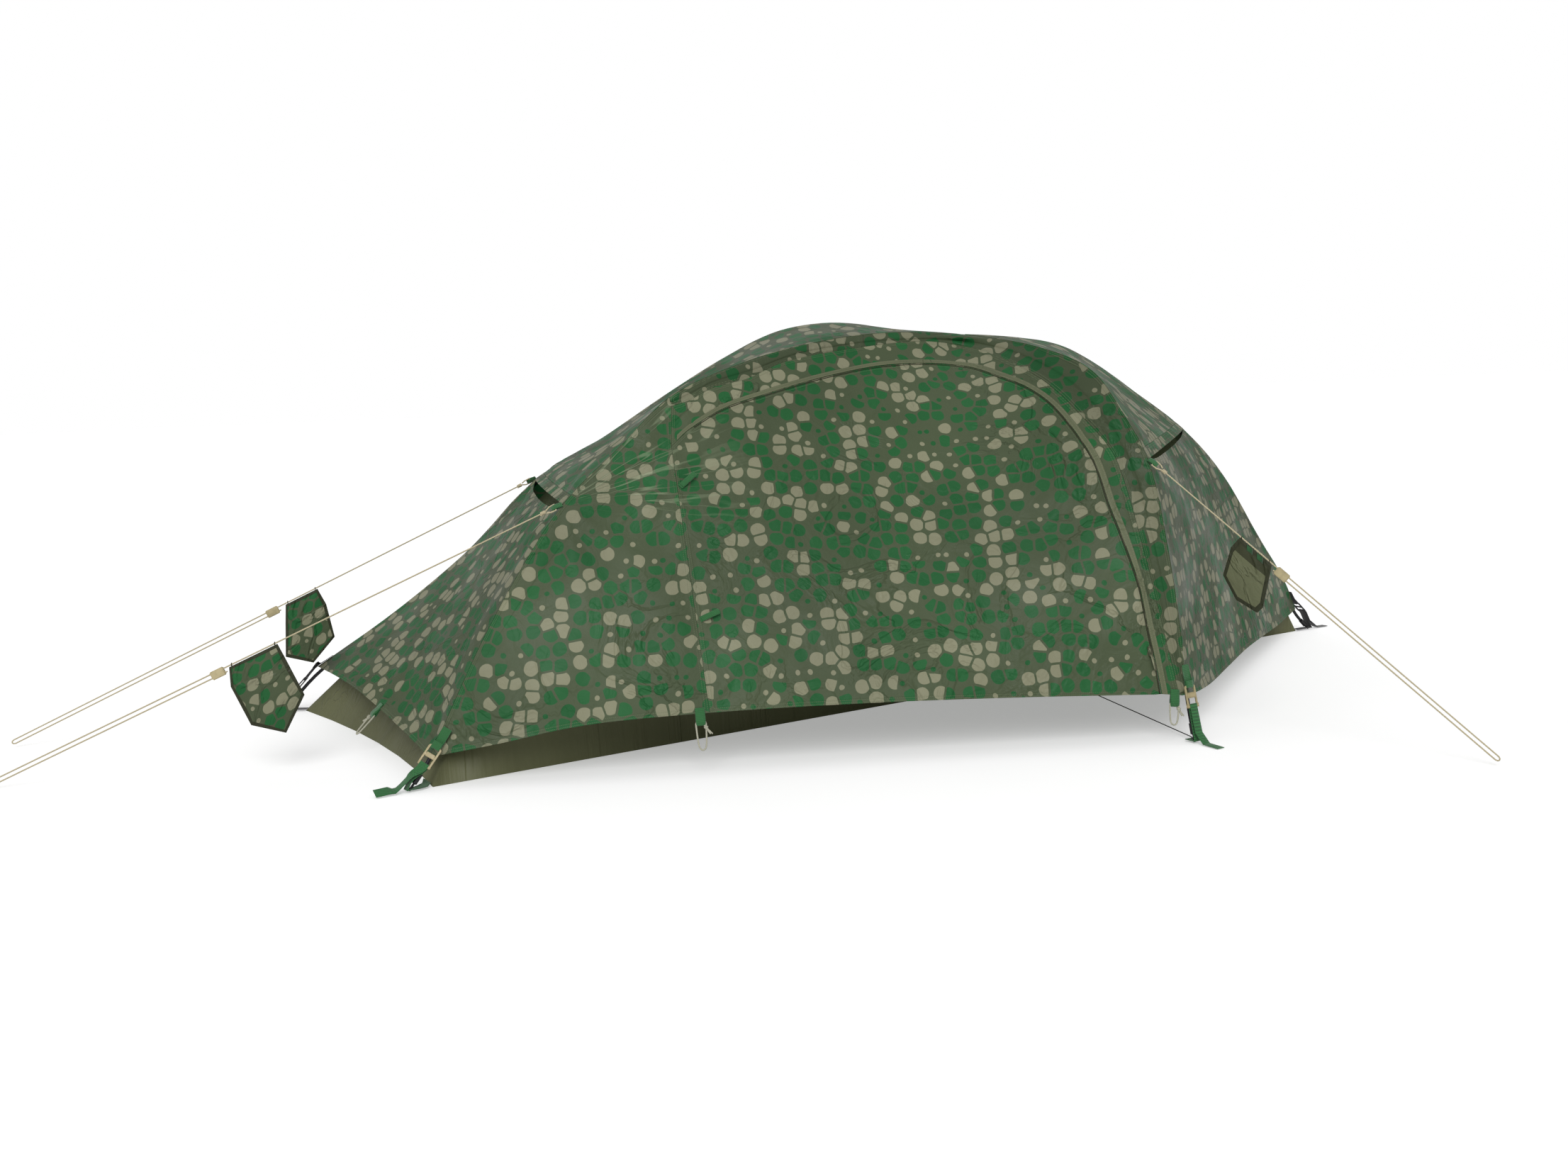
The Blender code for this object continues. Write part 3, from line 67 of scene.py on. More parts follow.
def add_camera():
    yaw, pitch, roll = map(math.radians, CAMERA_TURNS)
    ahead = Vector((math.sin(yaw) * math.cos(pitch), math.cos(yaw) * math.cos(pitch), -math.sin(pitch)))
    right = Vector((math.cos(yaw), -math.sin(yaw), 0))
    up = right.cross(ahead)
    side = right * math.cos(roll) - up * math.sin(roll)
    top = up * math.cos(roll) + right * math.sin(roll)
    data = bpy.data.cameras.new("camera")
    data.sensor_width, data.lens = CAMERA_SENSOR, CAMERA_LENS
    cam = bpy.data.objects.new("camera", data)
    SCENE.collection.objects.link(cam)
    at = Vector(CAMERA_AT) + Vector(SHIFT)
    cam.matrix_world = Matrix(((side.x, top.x, -ahead.x, at.x), (side.y, top.y, -ahead.y, at.y),
                               (side.z, top.z, -ahead.z, at.z), (0, 0, 0, 1)))
    SCENE.camera = cam


add_camera()


# Materials
def rgb(r, g, b):
    """Linear colour from a seen 8-bit one."""
    return tuple((c / 255 / 12.92) if c <= 10.3 else ((c / 255 + .055) / 1.055) ** 2.4
                 for c in (r, g, b)) + (1.0,)


def toned(colour, share):
    """A darker or lighter tone of a linear colour."""
    return tuple(c * share for c in colour[:3]) + (1,)


class Nodes:
    """A node tree, with short names for the nodes used here."""
    def __init__(self, tree):
        self.nt = tree

    def add(self, kind, ins=None, **props):
        n = self.nt.nodes.new("ShaderNode" + kind)
        for k, v in props.items():
            setattr(n, k, v)
        for k, v in (ins or {}).items():
            if isinstance(v, bpy.types.NodeSocket):
                self.nt.links.new(v, n.inputs[k])
            else:
                n.inputs[k].default_value = v
        return n

    def math(self, op, a, b=0.0, c=0.0):
        return self.add("Math", {0: a, 1: b, 2: c}, operation=op).outputs[0]

    def times(self, a, b):
        return self.math('MULTIPLY', a, b)

    def near(self, v, middle, lo, hi):
        return self.step(self.math('ABSOLUTE', self.math('SUBTRACT', v, middle)), lo, hi)

    def split(self, vec):
        return self.add("SeparateXYZ", {0: vec}).outputs

    def vec(self, op, ins):
        return self.add("VectorMath", ins, operation=op).outputs[0]

    def step(self, v, lo, hi, out_lo=0.0, out_hi=1.0):
        return self.add("MapRange", {"Value": v, "From Min": lo, "From Max": hi, "To Min": out_lo,
                                     "To Max": out_hi}, interpolation_type='SMOOTHSTEP').outputs[0]

    def mix(self, fac, a, b):
        return self.add("Mix", {0: fac, 6: a, 7: b}, data_type='RGBA').outputs[2]

    def noise(self, scale, vec, detail=2.0, distortion=0.0, rough=.5):
        return self.add("TexNoise", {"Scale": scale, "Vector": vec, "Detail": detail, "Roughness": rough,
                                     "Distortion": distortion}).outputs["Fac"]

    def wave(self, scale, vec, direction, distortion=0.0):
        return self.add("TexWave", {"Vector": vec, "Scale": scale, "Distortion": distortion},
                        bands_direction=direction).outputs["Fac"]

    def place(self):
        return self.add("TexCoord").outputs["Object"]

    def uv(self, name="cloth"):
        return self.add("UVMap", uv_map=name).outputs[0]

    def into(self, socket, target):
        self.nt.links.new(socket, target)


class Tree(Nodes):
    """A material and its nodes."""
    def __init__(self, name, rough=.6, sheen=0.0, metal=0.0, spec=.5):
        self.mat = bpy.data.materials.new(name)
        self.mat.use_nodes = True
        super().__init__(self.mat.node_tree)
        self.bsdf = self.nt.nodes["Principled BSDF"]
        for key, value in {"Roughness": rough, "Metallic": metal, "Specular IOR Level": spec,
                           "Sheen Weight": sheen}.items():
            self.bsdf.inputs[key].default_value = value

    def colour(self, socket):
        self.into(socket, self.bsdf.inputs["Base Color"])

    def rough(self, socket):
        self.into(socket, self.bsdf.inputs["Roughness"])

    def bump(self, height, dist, strength, normal=None):
        ins = {"Height": height, "Distance": dist, "Strength": strength}
        if normal is not None:
            ins["Normal"] = normal
        out = self.add("Bump", ins).outputs[0]
        self.into(out, self.bsdf.inputs["Normal"])
        return out


GROUND, GREEN, GREEN_PALE, BEIGE = rgb(78, 89, 65), rgb(34, 92, 50), rgb(46, 106, 60), rgb(138, 138, 113)
# The dark top band of the pouches' lining, and the colour of the painted highlight on crease rays
BAND, CREASE_HIGHLIGHT = rgb(62, 65, 46), rgb(160, 174, 142)
# Print: cells in a metre and their disorder, where beige gathers, and how many cells stay plain ground
PEBBLES, DISORDER, BEIGE_WHERE, NOT_BEIGE, NOT_GREEN = 32.0, .62, .52, .26, .30
# Stitch rows from a panel's edge, length of one stitch, threads of the weave, and where the hem's fold ends
STITCH_ROWS, STITCH, THREADS, HEM = (.0025, .0080), .0042, 900.0, (.0112, .0098)


def pebble_print(t, vec):
    """Pebbles in green and beige on olive: each cell picks its colour by chance and by its place."""
    warp = t.add("TexNoise", {"Scale": 24.0, "Vector": vec, "Detail": 1.0}).outputs["Color"]
    warp = t.vec('SCALE', {0: t.vec('ADD', {0: warp, 1: (-.5, -.5, -.5)}), 3: .008})
    at = t.vec('ADD', {0: vec, 1: warp})
    cells = {"Vector": at, "Scale": PEBBLES, "Randomness": DISORDER}
    edge = t.add("TexVoronoi", cells, feature='DISTANCE_TO_EDGE', voronoi_dimensions='2D').outputs["Distance"]
    kind = t.add("TexVoronoi", cells, feature='F1', voronoi_dimensions='2D')
    pick = t.add("SeparateColor", {0: kind.outputs["Color"]}).outputs
    body = t.times(t.step(edge, .060, .090), t.step(kind.outputs["Distance"], .50, .45))
    drift = t.noise(14.0, kind.outputs["Position"], 1.0)
    is_beige = t.times(t.math('GREATER_THAN', drift, BEIGE_WHERE), t.math('GREATER_THAN', pick[0], NOT_BEIGE))
    is_green = t.times(t.math('SUBTRACT', 1.0, is_beige), t.math('GREATER_THAN', pick[1], NOT_GREEN))
    either = t.math('MAXIMUM', is_beige, is_green)
    filled = t.times(body, either)
    small = t.times(t.math('SUBTRACT', 1.0, either), t.step(kind.outputs["Distance"], .19, .16))
    tint = t.mix(t.times(pick[2], .5), GREEN, GREEN_PALE)
    colour = t.mix(filled, GROUND, t.mix(is_beige, tint, BEIGE))
    return t.mix(small, colour, t.mix(t.math('GREATER_THAN', pick[2], .4), GREEN, BEIGE))


def stitch_lines(t):
    """Rows of stitches along every border of a panel, as a mask, and the distance to the nearest border."""
    a, b, flat = t.split(t.uv("sides")), t.split(t.uv("ends")), t.split(t.uv())
    near = a[0]
    for d in (a[1], b[0], b[1]):
        near = t.math('MINIMUM', near, d)
    diagonal = t.math('ADD', flat[0], flat[1])
    run = t.math('SINE', t.times(diagonal, 2 * math.pi / STITCH))
    rows = [t.near(near, d, .0010, .0003) for d in STITCH_ROWS]
    return t.times(t.math('MAXIMUM', *rows), t.step(run, -.7, -.2)), near


def crease_rays(t):
    """Thin creases that fan out from a pulled corner, the mask for both their bump and their painted
    highlight: the layer holds angle and distance.
    """
    fan = t.split(t.uv("fan"))
    at = t.add("CombineXYZ", {0: fan[0], 1: t.times(fan[1], .35)}).outputs[0]
    thin = t.near(t.noise(8.0, at), .5, .030, .0)
    reach = t.times(t.step(fan[1], .46, .14), t.step(fan[1], .012, .05))
    return t.times(t.times(thin, reach), t.step(fan[0], -.24, .06))


def cloth_mat(name, base=None, shade=1.0, thread=(112, 124, 94), glow=0.0, band=None):
    """Thin coated cloth, printed unless it has a base colour; band is where a dark top band ends. Glow is
    painted light, an emission that brightens the cloth where it lies in shade; shade darkens the whole cloth.
    """
    t = Tree(name, rough=.5, spec=.15)
    vec = t.uv()
    colour = t.mix(t.noise(9.0, vec), base, toned(base, .86)) if base else pebble_print(t, vec)
    if band:
        colour = t.mix(t.step(t.split(vec)[1], band - .0006, band + .0006), BAND, colour)
    tone_and_shade = t.step(t.noise(3.2, vec, 3.0), .3, .7, .90, 1.06)
    # shade darkens the whole cloth: for the right end's darker copy this is painted shade, for the inside a
    # dimmer print
    if shade != 1.0:
        tone_and_shade = t.times(tone_and_shade, shade)
    colour = t.vec('SCALE', {0: colour, 3: tone_and_shade})
    stitches, near = stitch_lines(t)
    ray = crease_rays(t)
    # Painted highlight: the crease rays are lightened, as light catching the folds
    colour = t.mix(t.times(ray, .40), colour, CREASE_HIGHLIGHT)
    colour = t.mix(t.times(stitches, .5), colour, rgb(*thread))
    t.colour(colour)
    # Painted light: the cloth's own colour glows, to brighten it where it lies in shade
    if glow:
        t.into(colour, t.bsdf.inputs["Emission Color"])
        t.bsdf.inputs["Emission Strength"].default_value = glow
    t.rough(t.step(t.noise(5.0, vec, 3.0), .35, .65, .34, .56))
    weave = t.bump(t.math('ADD', t.wave(THREADS, vec, 'X'), t.wave(THREADS, vec, 'Y')), .00003, .35)
    soft = t.bump(t.noise(14.0, vec, 3.0, 1.4), .0060, .7, weave)
    ridge_up = t.near(t.noise(6.5, vec, 4.0, .9, .55), .5, .045, .0)
    soft = t.bump(t.times(ridge_up, t.step(t.noise(2.1, vec), .40, .60)), .0040, .7, soft)
    soft = t.bump(ray, .0030, .6, soft)
    hem = t.math('SUBTRACT', t.step(near, *HEM), t.times(stitches, .5))
    t.bump(hem, .0006, .8, soft)
    return t.mat


def plain_mat(name, colour, rough, grain, depth, metal=0.0):
    """A plain moulded or coated surface with fine grain and a little colour variation."""
    t = Tree(name, rough, 0.0, metal)
    vec = t.place()
    t.colour(t.mix(t.step(t.noise(60.0, vec, 4.0), .35, .75), colour, toned(colour, .72)))
    t.rough(t.step(t.noise(180.0, vec), .3, .7, rough * .85, min(1.0, rough * 1.12)))
    t.bump(t.noise(grain, vec, 3.0), depth, .5)
    return t.mat


def web_mat(name, colour):
    """Woven strap: ribs across and along the tape with darker gaps."""
    t = Tree(name, .75, .3)
    vec = t.uv()
    weave = t.times(t.wave(260.0, vec, 'X', .6), t.wave(150.0, vec, 'Y', .6))
    worn = t.mix(t.noise(25.0, vec), colour, toned(colour, 1.25))
    t.colour(t.mix(t.step(weave, .05, .5), toned(colour, .45), worn))
    t.bump(weave, .0004, .8)
    return t.mat


def cord_mat(name, colour):
    """Braided cord: crossed diagonal strands round the cord."""
    t = Tree(name, .8, .2)
    vec = t.place()
    braid = t.times(t.wave(190.0, vec, 'DIAGONAL', 2.0), t.wave(230.0, vec, 'X', 2.0))
    t.colour(t.mix(t.step(braid, .05, .6), toned(colour, .62), colour))
    t.bump(braid, .0004, .8)
    return t.mat


M_FLY = cloth_mat("fly_print")
# The fly's inside: a dimmer print, with a painted glow standing for daylight that shines through the thin
# cloth
M_FLY_INSIDE = cloth_mat("fly_inside", shade=.72, glow=.16)
# Painted shade: a darker copy of the fly print, for the right end panel that turns away from the light
M_FLY_END_SHADED = cloth_mat("fly_print_end_shaded", shade=.92)
M_FLAP = cloth_mat("flap_binding", rgb(104, 110, 84), thread=(138, 138, 112))
M_FLAP_DARK = cloth_mat("dark_binding", rgb(58, 61, 44))
# Painted light: the floor tub and the inner canopy glow a little, to lift them where the fly shades them
M_FLOOR = cloth_mat("floor_coated", rgb(108, 110, 80), thread=(120, 120, 92), glow=.03)
M_INNER = cloth_mat("inner_cloth", rgb(98, 106, 78), glow=.10)
# The pouches' print: its scale and place in the print, and how far down their lining's dark band reaches
POUCH_SCALE, POUCH_PLACE, POUCH_BAND = 1.1, (5.3, 2.1), .036
M_POUCH_BACK = cloth_mat("pouch_back", rgb(108, 112, 84), band=POUCH_PLACE[1] + POUCH_BAND * POUCH_SCALE)
M_WEB = web_mat("webbing_green", rgb(44, 122, 60))
M_WEB_BLACK = web_mat("webbing_black", rgb(30, 30, 31))
M_BUCKLE = plain_mat("buckle_tan", rgb(178, 164, 124), .45, 700.0, .0001)
M_TIP = plain_mat("tip_black", rgb(28, 28, 30), .45, 600.0, .0001)
M_POLE = plain_mat("pole_dark", rgb(46, 47, 49), .35, 900.0, .00005, .6)
M_CORD = cord_mat("guy_cord", rgb(226, 212, 174))
M_PALE = cord_mat("pale_cord", rgb(206, 204, 182))
M_BLACK = cord_mat("black_cord", rgb(26, 26, 27))
M_SLIDER = plain_mat("slider_tan", rgb(196, 182, 140), .5, 700.0, .0001)
M_METAL = plain_mat("zip_metal", rgb(96, 98, 76), .4, 900.0, .00008, .6)


# Cords first: their routes are the CAD's own points
GUY_DIAMETER, TENSION_DIAMETER = .003, .0022
GUY_ROUTES = {
    "left_front": [
        (-.7473, -.3041, .5260), (-.7393, -.3076, .5270), (-.7282, -.3093, .5314), (-.7315, -.2964, .5422),
        (-.7423, -.2959, .5368), (-.7517, -.3003, .5272), (-1.9046, -.1650, .0184), (-1.9081, -.1646, .0152),
        (-1.9083, -.1646, .0119), (-1.9057, -.1649, .0097), (-1.9011, -.1655, .0102),
        (-1.4131, -.2227, .2255)],
    "left_back": [
        (-.7871, .2993, .5425), (-.7806, .2972, .5480), (-.7698, .2975, .5532), (-.7659, .3102, .5423),
        (-.7771, .3087, .5381), (-.7898, .3023, .5381), (-1.9666, .2200, .0184), (-1.9701, .2197, .0152),
        (-1.9703, .2197, .0119), (-1.9677, .2199, .0097), (-1.9630, .2202, .0102), (-1.3622, .2623, .2755)],
    "right": [
        (.5313, -.4340, .5663), (.5297, -.4282, .5727), (.5233, -.4215, .5805), (.5092, -.4290, .5740),
        (.5169, -.4349, .5668), (.5300, -.4380, .5621), (1.0215, -.8912, .0198), (1.0233, -.8930, .0158),
        (1.0228, -.8925, .0125), (1.0206, -.8904, .0111), (1.0173, -.8874, .0128), (.7011, -.5958, .3618)],
}
TENSION_ROUTE = [
    (.5592, -.5364, .0098), (.5602, -.5395, .0098), (.5587, -.5423, .0098), (.5556, -.5433, .0098),
    (.5528, -.5418, .0098), (.5518, -.5388, .0098), (.5533, -.5359, .0098), (.5537, -.5268, .0098),
    (.4892, .2005, .0098)]


def link(name, data, mats, body):
    """Put a piece in the scene, with its materials, on its body."""
    ob = bpy.data.objects.new(name, data)
    SCENE.collection.objects.link(ob)
    for mat in mats:
        data.materials.append(mat)
    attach(ob, body)
    return ob


def cord_curve(name, pts, radius, mat, body, cyclic=False):
    curve = bpy.data.curves.new(name, 'CURVE')
    curve.dimensions = '3D'
    curve.bevel_depth = radius
    curve.bevel_resolution = 3
    curve.use_fill_caps = not cyclic
    spline = curve.splines.new('POLY')
    spline.points.add(len(pts) - 1)
    for p, q in zip(spline.points, pts):
        p.co = (*q, 1)
    spline.use_cyclic_u = cyclic
    return link(name, curve, [mat], body)


def block(name, centre, axes, size, mat, body, bevel):
    """A small moulded block with rounded edges, set along three axes."""
    bm = bmesh.new()
    bmesh.ops.create_cube(bm, size=1.0)
    for v in bm.verts:
        v.co = centre + sum((axes[i] * v.co[i] * size[i] for i in range(3)), Vector())
    mesh = bpy.data.meshes.new(name)
    bmesh.ops.bevel(bm, geom=bm.edges[:], offset=bevel, segments=3, affect='EDGES', profile=.5)
    bmesh.ops.recalc_face_normals(bm, faces=bm.faces[:])
    bm.to_mesh(mesh)
    bm.free()
    shade_smooth(mesh, 60)
    return link(name, mesh, [mat], body)


def tapered(name, pts, radii, mat, body, sides=8):
    """A round tube whose thickness changes along it."""
    verts, faces = [], []
    for n, q in enumerate(pts):
        along = (pts[min(n + 1, len(pts) - 1)] - pts[max(n - 1, 0)]).normalized()
        side = along.cross(Vector((0, 1, 0))).normalized()
        up = along.cross(side)
        verts += [tuple(q + (side * math.cos(a) + up * math.sin(a)) * radii[n])
                  for a in (2 * math.pi * k / sides for k in range(sides))]
    for n in range(len(pts) - 1):
        for k in range(sides):
            a, b = n * sides + k, n * sides + (k + 1) % sides
            faces.append((a, b, b + sides, a + sides))
    faces += [tuple(range(sides)), tuple(range(len(verts) - sides, len(verts)))]
    mesh = bpy.data.meshes.new(name)
    mesh.from_pydata(verts, [], faces)
    turn_faces_out(mesh)
    for poly in mesh.polygons:
        poly.use_smooth = len(poly.vertices) == 4
    return link(name, mesh, [mat], body)


def turn_faces_out(mesh):
    bm = bmesh.new()
    bm.from_mesh(mesh)
    bmesh.ops.recalc_face_normals(bm, faces=bm.faces[:])
    bm.to_mesh(mesh)
    bm.free()


def shade_smooth(mesh, sharp):
    """Smooth shading, apart from edges that turn more than an angle in degrees."""
    for poly in mesh.polygons:
        poly.use_smooth = True
    mesh.set_sharp_from_angle(angle=math.radians(sharp))


def apply_all(ob):
    """Make the modifiers' result the object's own mesh."""
    deps = bpy.context.evaluated_depsgraph_get()
    mesh = bpy.data.meshes.new_from_object(ob.evaluated_get(deps))
    ob.modifiers.clear()
    ob.data = mesh


def add_uvs(mesh, layers):
    """Layers of coordinates, each from one pair of values for every vertex."""
    verts = np.zeros(len(mesh.loops), int)
    mesh.loops.foreach_get("vertex_index", verts)
    for key, pairs in layers.items():
        flat = pairs[verts].astype(np.float32).ravel()
        mesh.uv_layers.new(name=key).data.foreach_set("uv", flat)


def without_borders(mesh, cloth):
    """Coordinates of a piece without stitched borders or a pulled corner: both are far off."""
    far = np.full((len(mesh.vertices), 2), .5)
    add_uvs(mesh, {"cloth": cloth, "sides": far, "ends": far, "fan": far})


def own_axes(mesh):
    """A mesh's points, their middle, and its three own directions from thin to long."""
    co = np.array([v.co for v in mesh.vertices])
    mid = co.mean(0)
    return co, mid, np.linalg.eigh(np.cov((co - mid).T))[1]


def length_of(pts):
    """The length of a line through its points."""
    return float(norm(np.diff(pts, axis=0), axis=1).sum())


CORDS = {}
for key, route in GUY_ROUTES.items():
    ob = cord_curve(f"guy_cord_{key}", route, GUY_DIAMETER / 2, M_CORD, "tent")
    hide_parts(f"guy_line_{key}")
    CORDS[key] = (ob, route)
ob = cord_curve("tension_cord", TENSION_ROUTE, TENSION_DIAMETER / 2, M_BLACK, "tent")
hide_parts("front_tension_cord")
length_of(TENSION_ROUTE)


# Cloth surfaces: the same ridges, hems and seams as the frame's, drawn finer.
# Shared points: the four feet, the corners above them, the front seam's top and where the poles cross
FOOT_LF, FOOT_RF = (-.886, -.431, .062), (.674, -.530, .096)
FOOT_LB, FOOT_RB = (-1.183, .403, .108), (1.470, .556, .062)
CORNER_LF, CORNER_RF = (-.591, -.308, .541), (.630, -.420, .585)
CORNER_LB, CORNER_RB = (-.629, .297, .552), (1.057, .380, .595)
SEAM_TOP, CROSSING = (-.351, -.200, .748), (.375, .095, .860)
A_SPANS = (
    ([FOOT_LF, (-.74, -.37, .33), CORNER_LF], 9),
    ([CORNER_LF, (-.46, -.250, .655), SEAM_TOP], 5),
    ([SEAM_TOP, (-.20, -.135, .808), (-.02, -.060, .850), (.18, .018, .869), CROSSING], 13),
    ([CROSSING, (.54, .165, .847), (.66, .215, .826), (.76, .256, .782), (.89, .309, .703), CORNER_RB], 12),
    ([CORNER_RB, (1.19, .435, .470), (1.33, .494, .278), (1.425, .535, .150), FOOT_RB], 9),
)
B_SPANS = (
    ([FOOT_RF, (.655, -.475, .38), CORNER_RF], 9),
    ([CORNER_RF, (.600, -.352, .683), (.566, -.275, .768), (.500, -.130, .822), CROSSING], 12),
    ([CROSSING, (.23, .137, .876), (.09, .162, .897), (-.045, .186, .882), (-.166, .209, .828),
      (-.31, .236, .744), (-.471, .267, .642), CORNER_LB], 18),
    ([CORNER_LB, (-.80, .328, .385), (-.985, .363, .240), FOOT_LB], 9),
)
FRONT_HEM = [FOOT_LF, (-.754, -.455, .084), (-.582, -.468, .112), (-.328, -.483, .123), (0, -.50, .123),
             (.273, -.515, .117), (.481, -.525, .109), (.628, -.531, .102), FOOT_RF]
LEFT_HEM = [FOOT_LF, (-.937, -.284, .079), (-1.012, -.061, .097), (-1.076, .117, .108), (-1.135, .284, .108),
            FOOT_LB]
RIGHT_HEM = [FOOT_RF, (.750, -.420, .078), (.942, -.150, .071), (1.040, -.015, .072), (1.240, .254, .063),
             (1.425, .498, .056), FOOT_RB]
BACK_HEM = [FOOT_LB, (-.60, .428, .122), (.10, .466, .120), (.80, .522, .100), FOOT_RB]
# The zip and the upper border of the panel over it, as seen from the front
ZIP_XZ = [(-.356, .646), (-.325, .672), (-.285, .695), (-.229, .721), (-.170, .736), (-.068, .760),
          (.018, .777), (.141, .794), (.243, .796), (.305, .792), (.373, .780), (.424, .754), (.460, .732),
          (.487, .695), (.510, .644), (.530, .591), (.538, .549), (.546, .494), (.563, .427), (.587, .324),
          (.595, .247), (.605, .174), (.613, .104)]
BAND_XZ = [(-.349, .729), (-.311, .738), (-.263, .761), (-.164, .782), (-.095, .809), (.108, .838),
           (.290, .845), (.391, .825), (.434, .802), (.468, .768), (.497, .737), (.510, .708), (.543, .651),
           (.568, .602), (.584, .521), (.600, .422), (.618, .310), (.634, .210), (.653, .099)]
CLOTH_T, FLAP_W = .0008, .014
# A point inside the tent, which cloth faces away from
CENTRE = np.array([0.15, 0.0, 0.12])


def unit(v):
    return np.asarray(v, float) / norm(v)


def between(u, u0, u1, p0, p1):
    """The point at u on the straight line from p0 at u0 to p1 at u1."""
    return (u1 - u) / (u1 - u0) * p0 + (u - u0) / (u1 - u0) * p1


def smooth(points, per=40):
    """A smooth line through its points, and where each of them lies in it."""
    p = np.asarray(points, float)
    q = np.vstack([2 * p[0] - p[1], p, 2 * p[-1] - p[-2]])
    knots = np.r_[0, np.cumsum(np.sqrt(norm(np.diff(q, axis=0), axis=1)))]
    out, marks = [], [0]
    for i in range(1, len(p)):
        t0, t1, t2, t3 = knots[i - 1:i + 3]
        p0, p1, p2, p3 = q[i - 1:i + 3]
        for u in np.linspace(t1, t2, per, endpoint=False):
            a1, a2 = between(u, t0, t1, p0, p1), between(u, t1, t2, p1, p2)
            a3 = between(u, t2, t3, p2, p3)
            out.append(between(u, t1, t2, between(u, t0, t2, a1, a2), between(u, t1, t3, a2, a3)))
        marks.append(len(out))
    out.append(p[-1])
    return np.array(out), marks


def read_off(line, marks, at):
    """Points of a line at other values than the marks that its own points have."""
    return np.stack([np.interp(at, marks, c) for c in line.T], -1)


def resample(dense, n):
    """A line again in n equal steps."""
    s = np.r_[0, np.cumsum(norm(np.diff(dense, axis=0), axis=1))]
    return read_off(dense, s, np.linspace(0, s[-1], n + 1))


def ridge(spans):
    """One smooth line through all spans, cut at their ends, each in its own number of steps."""
    ctrl, ends = list(spans[0][0]), [len(spans[0][0]) - 1]
    for pts, _ in spans[1:]:
        ctrl += pts[1:]
        ends.append(len(ctrl) - 1)
    dense, marks = smooth(ctrl)
    nodes, start = [], 0
    for (_, n), end in zip(spans, ends):
        nodes.append(resample(dense[marks[start]:marks[end] + 1], n))
        start = end
    return nodes


def chain(*parts):
    """Lines joined end to end."""
    return np.vstack([np.asarray(parts[0])] + [np.asarray(p)[1:] for p in parts[1:]])


A_LEG_L, A_FL_P1, A_P1_C, A_C_BR, A_LEG_R = ridge(A_SPANS)
B_LEG_R, B_FR_C, B_C_BL, B_LEG_L = ridge(B_SPANS)
FRONT_HEM_D = smooth(FRONT_HEM)[0]
# The front's depth at any point follows from that of its rim, the ridges and the hem
RIM = np.vstack([chain(A_LEG_L, A_FL_P1, A_P1_C, chain(B_LEG_R, B_FR_C)[::-1]),
                 resample(FRONT_HEM_D, 26)[1:-1]])
SYSTEM = np.pad(norm(RIM[:, None, ::2] - RIM[None, :, ::2], axis=2), (0, 1), constant_values=1.0)
SYSTEM[-1, -1] = 0.0
WEIGHTS = np.linalg.solve(SYSTEM, np.r_[RIM[:, 1], 0.0])


def front_y(x, z):
    return float(np.dot(WEIGHTS[:-1], np.hypot(RIM[:, 0] - x, RIM[:, 2] - z)) + WEIGHTS[-1])


def on_front(xz):
    """Points of the front over their x and z."""
    return np.array([[x, front_y(x, z), z] for x, z in xz])


def hem_part(x0, x1, n):
    """The front hem from one x to another, in n steps."""
    return read_off(FRONT_HEM_D, FRONT_HEM_D[:, 0], np.linspace(x0, x1, n + 1))


N_ALONG = len(A_P1_C) - 1 + len(B_FR_C) - 1 + len(B_LEG_R) - 1
zip_nodes = on_front(resample(smooth(ZIP_XZ)[0], N_ALONG))
band_nodes = on_front(resample(smooth(BAND_XZ)[0], N_ALONG))
ridge_nodes = chain(A_P1_C, chain(B_LEG_R, B_FR_C)[::-1])
seam_foot = hem_part(-.3271, -.3271, 1)[0]
seam_low = seam_foot + (zip_nodes[0] - seam_foot) * np.linspace(0, 1, 7)[:, None]
seam_pull = seam_low[:, 1] - on_front(seam_low[:, ::2])[:, 1]
to_band = band_nodes - zip_nodes
flap_share = (FLAP_W + .002) / norm(to_band, axis=1, keepdims=True)
flap_line = on_front((zip_nodes + to_band * np.minimum(flap_share, .45))[:, ::2])
brow_mid = on_front(((band_nodes + ridge_nodes) / 2)[:, ::2])
brow_mid[-1] = (band_nodes[-1] + ridge_nodes[-1]) / 2
seam_nodes = np.vstack([seam_low, flap_line[:1], band_nodes[:1], brow_mid[:1], ridge_nodes[:1]])

hem_l = hem_part(FRONT_HEM[0][0] + .012, seam_foot[0], len(A_LEG_L) + len(A_FL_P1) - 2)
ridge_l = chain(A_LEG_L, A_FL_P1)
share = np.r_[0, np.cumsum(norm(np.diff(seam_nodes, axis=0), axis=1))]
rows = []
for j, w in enumerate(share / share[-1]):
    row = hem_l * (1 - w) + ridge_l * w
    row[1:-1] = on_front(row[1:-1, ::2])
    if j <= 6:
        row[1:-1, 1] += seam_pull[j] * np.clip(1 - np.arange(len(row))[::-1] / 5, 0, 1)[1:-1] ** 2
    rows.append(row)
front_left = np.array(rows)
front_left[0], front_left[-1] = hem_l, ridge_l
front_left[:, -1] = seam_nodes
door_hem = hem_part(seam_foot[0], ZIP_XZ[-1][0] - .016, N_ALONG)
rows = []
for j, w in enumerate(np.linspace(0, 1, 7)):
    row = on_front((door_hem * (1 - w) + zip_nodes * w)[:, ::2])
    row[:, 1] += seam_pull[j] * np.clip(1 - np.arange(len(row)) / 8, 0, 1) ** 2
    rows.append(row)
door_grid = np.array(rows)
door_grid[0], door_grid[-1] = door_hem, zip_nodes
door_grid[:, 0] = seam_low


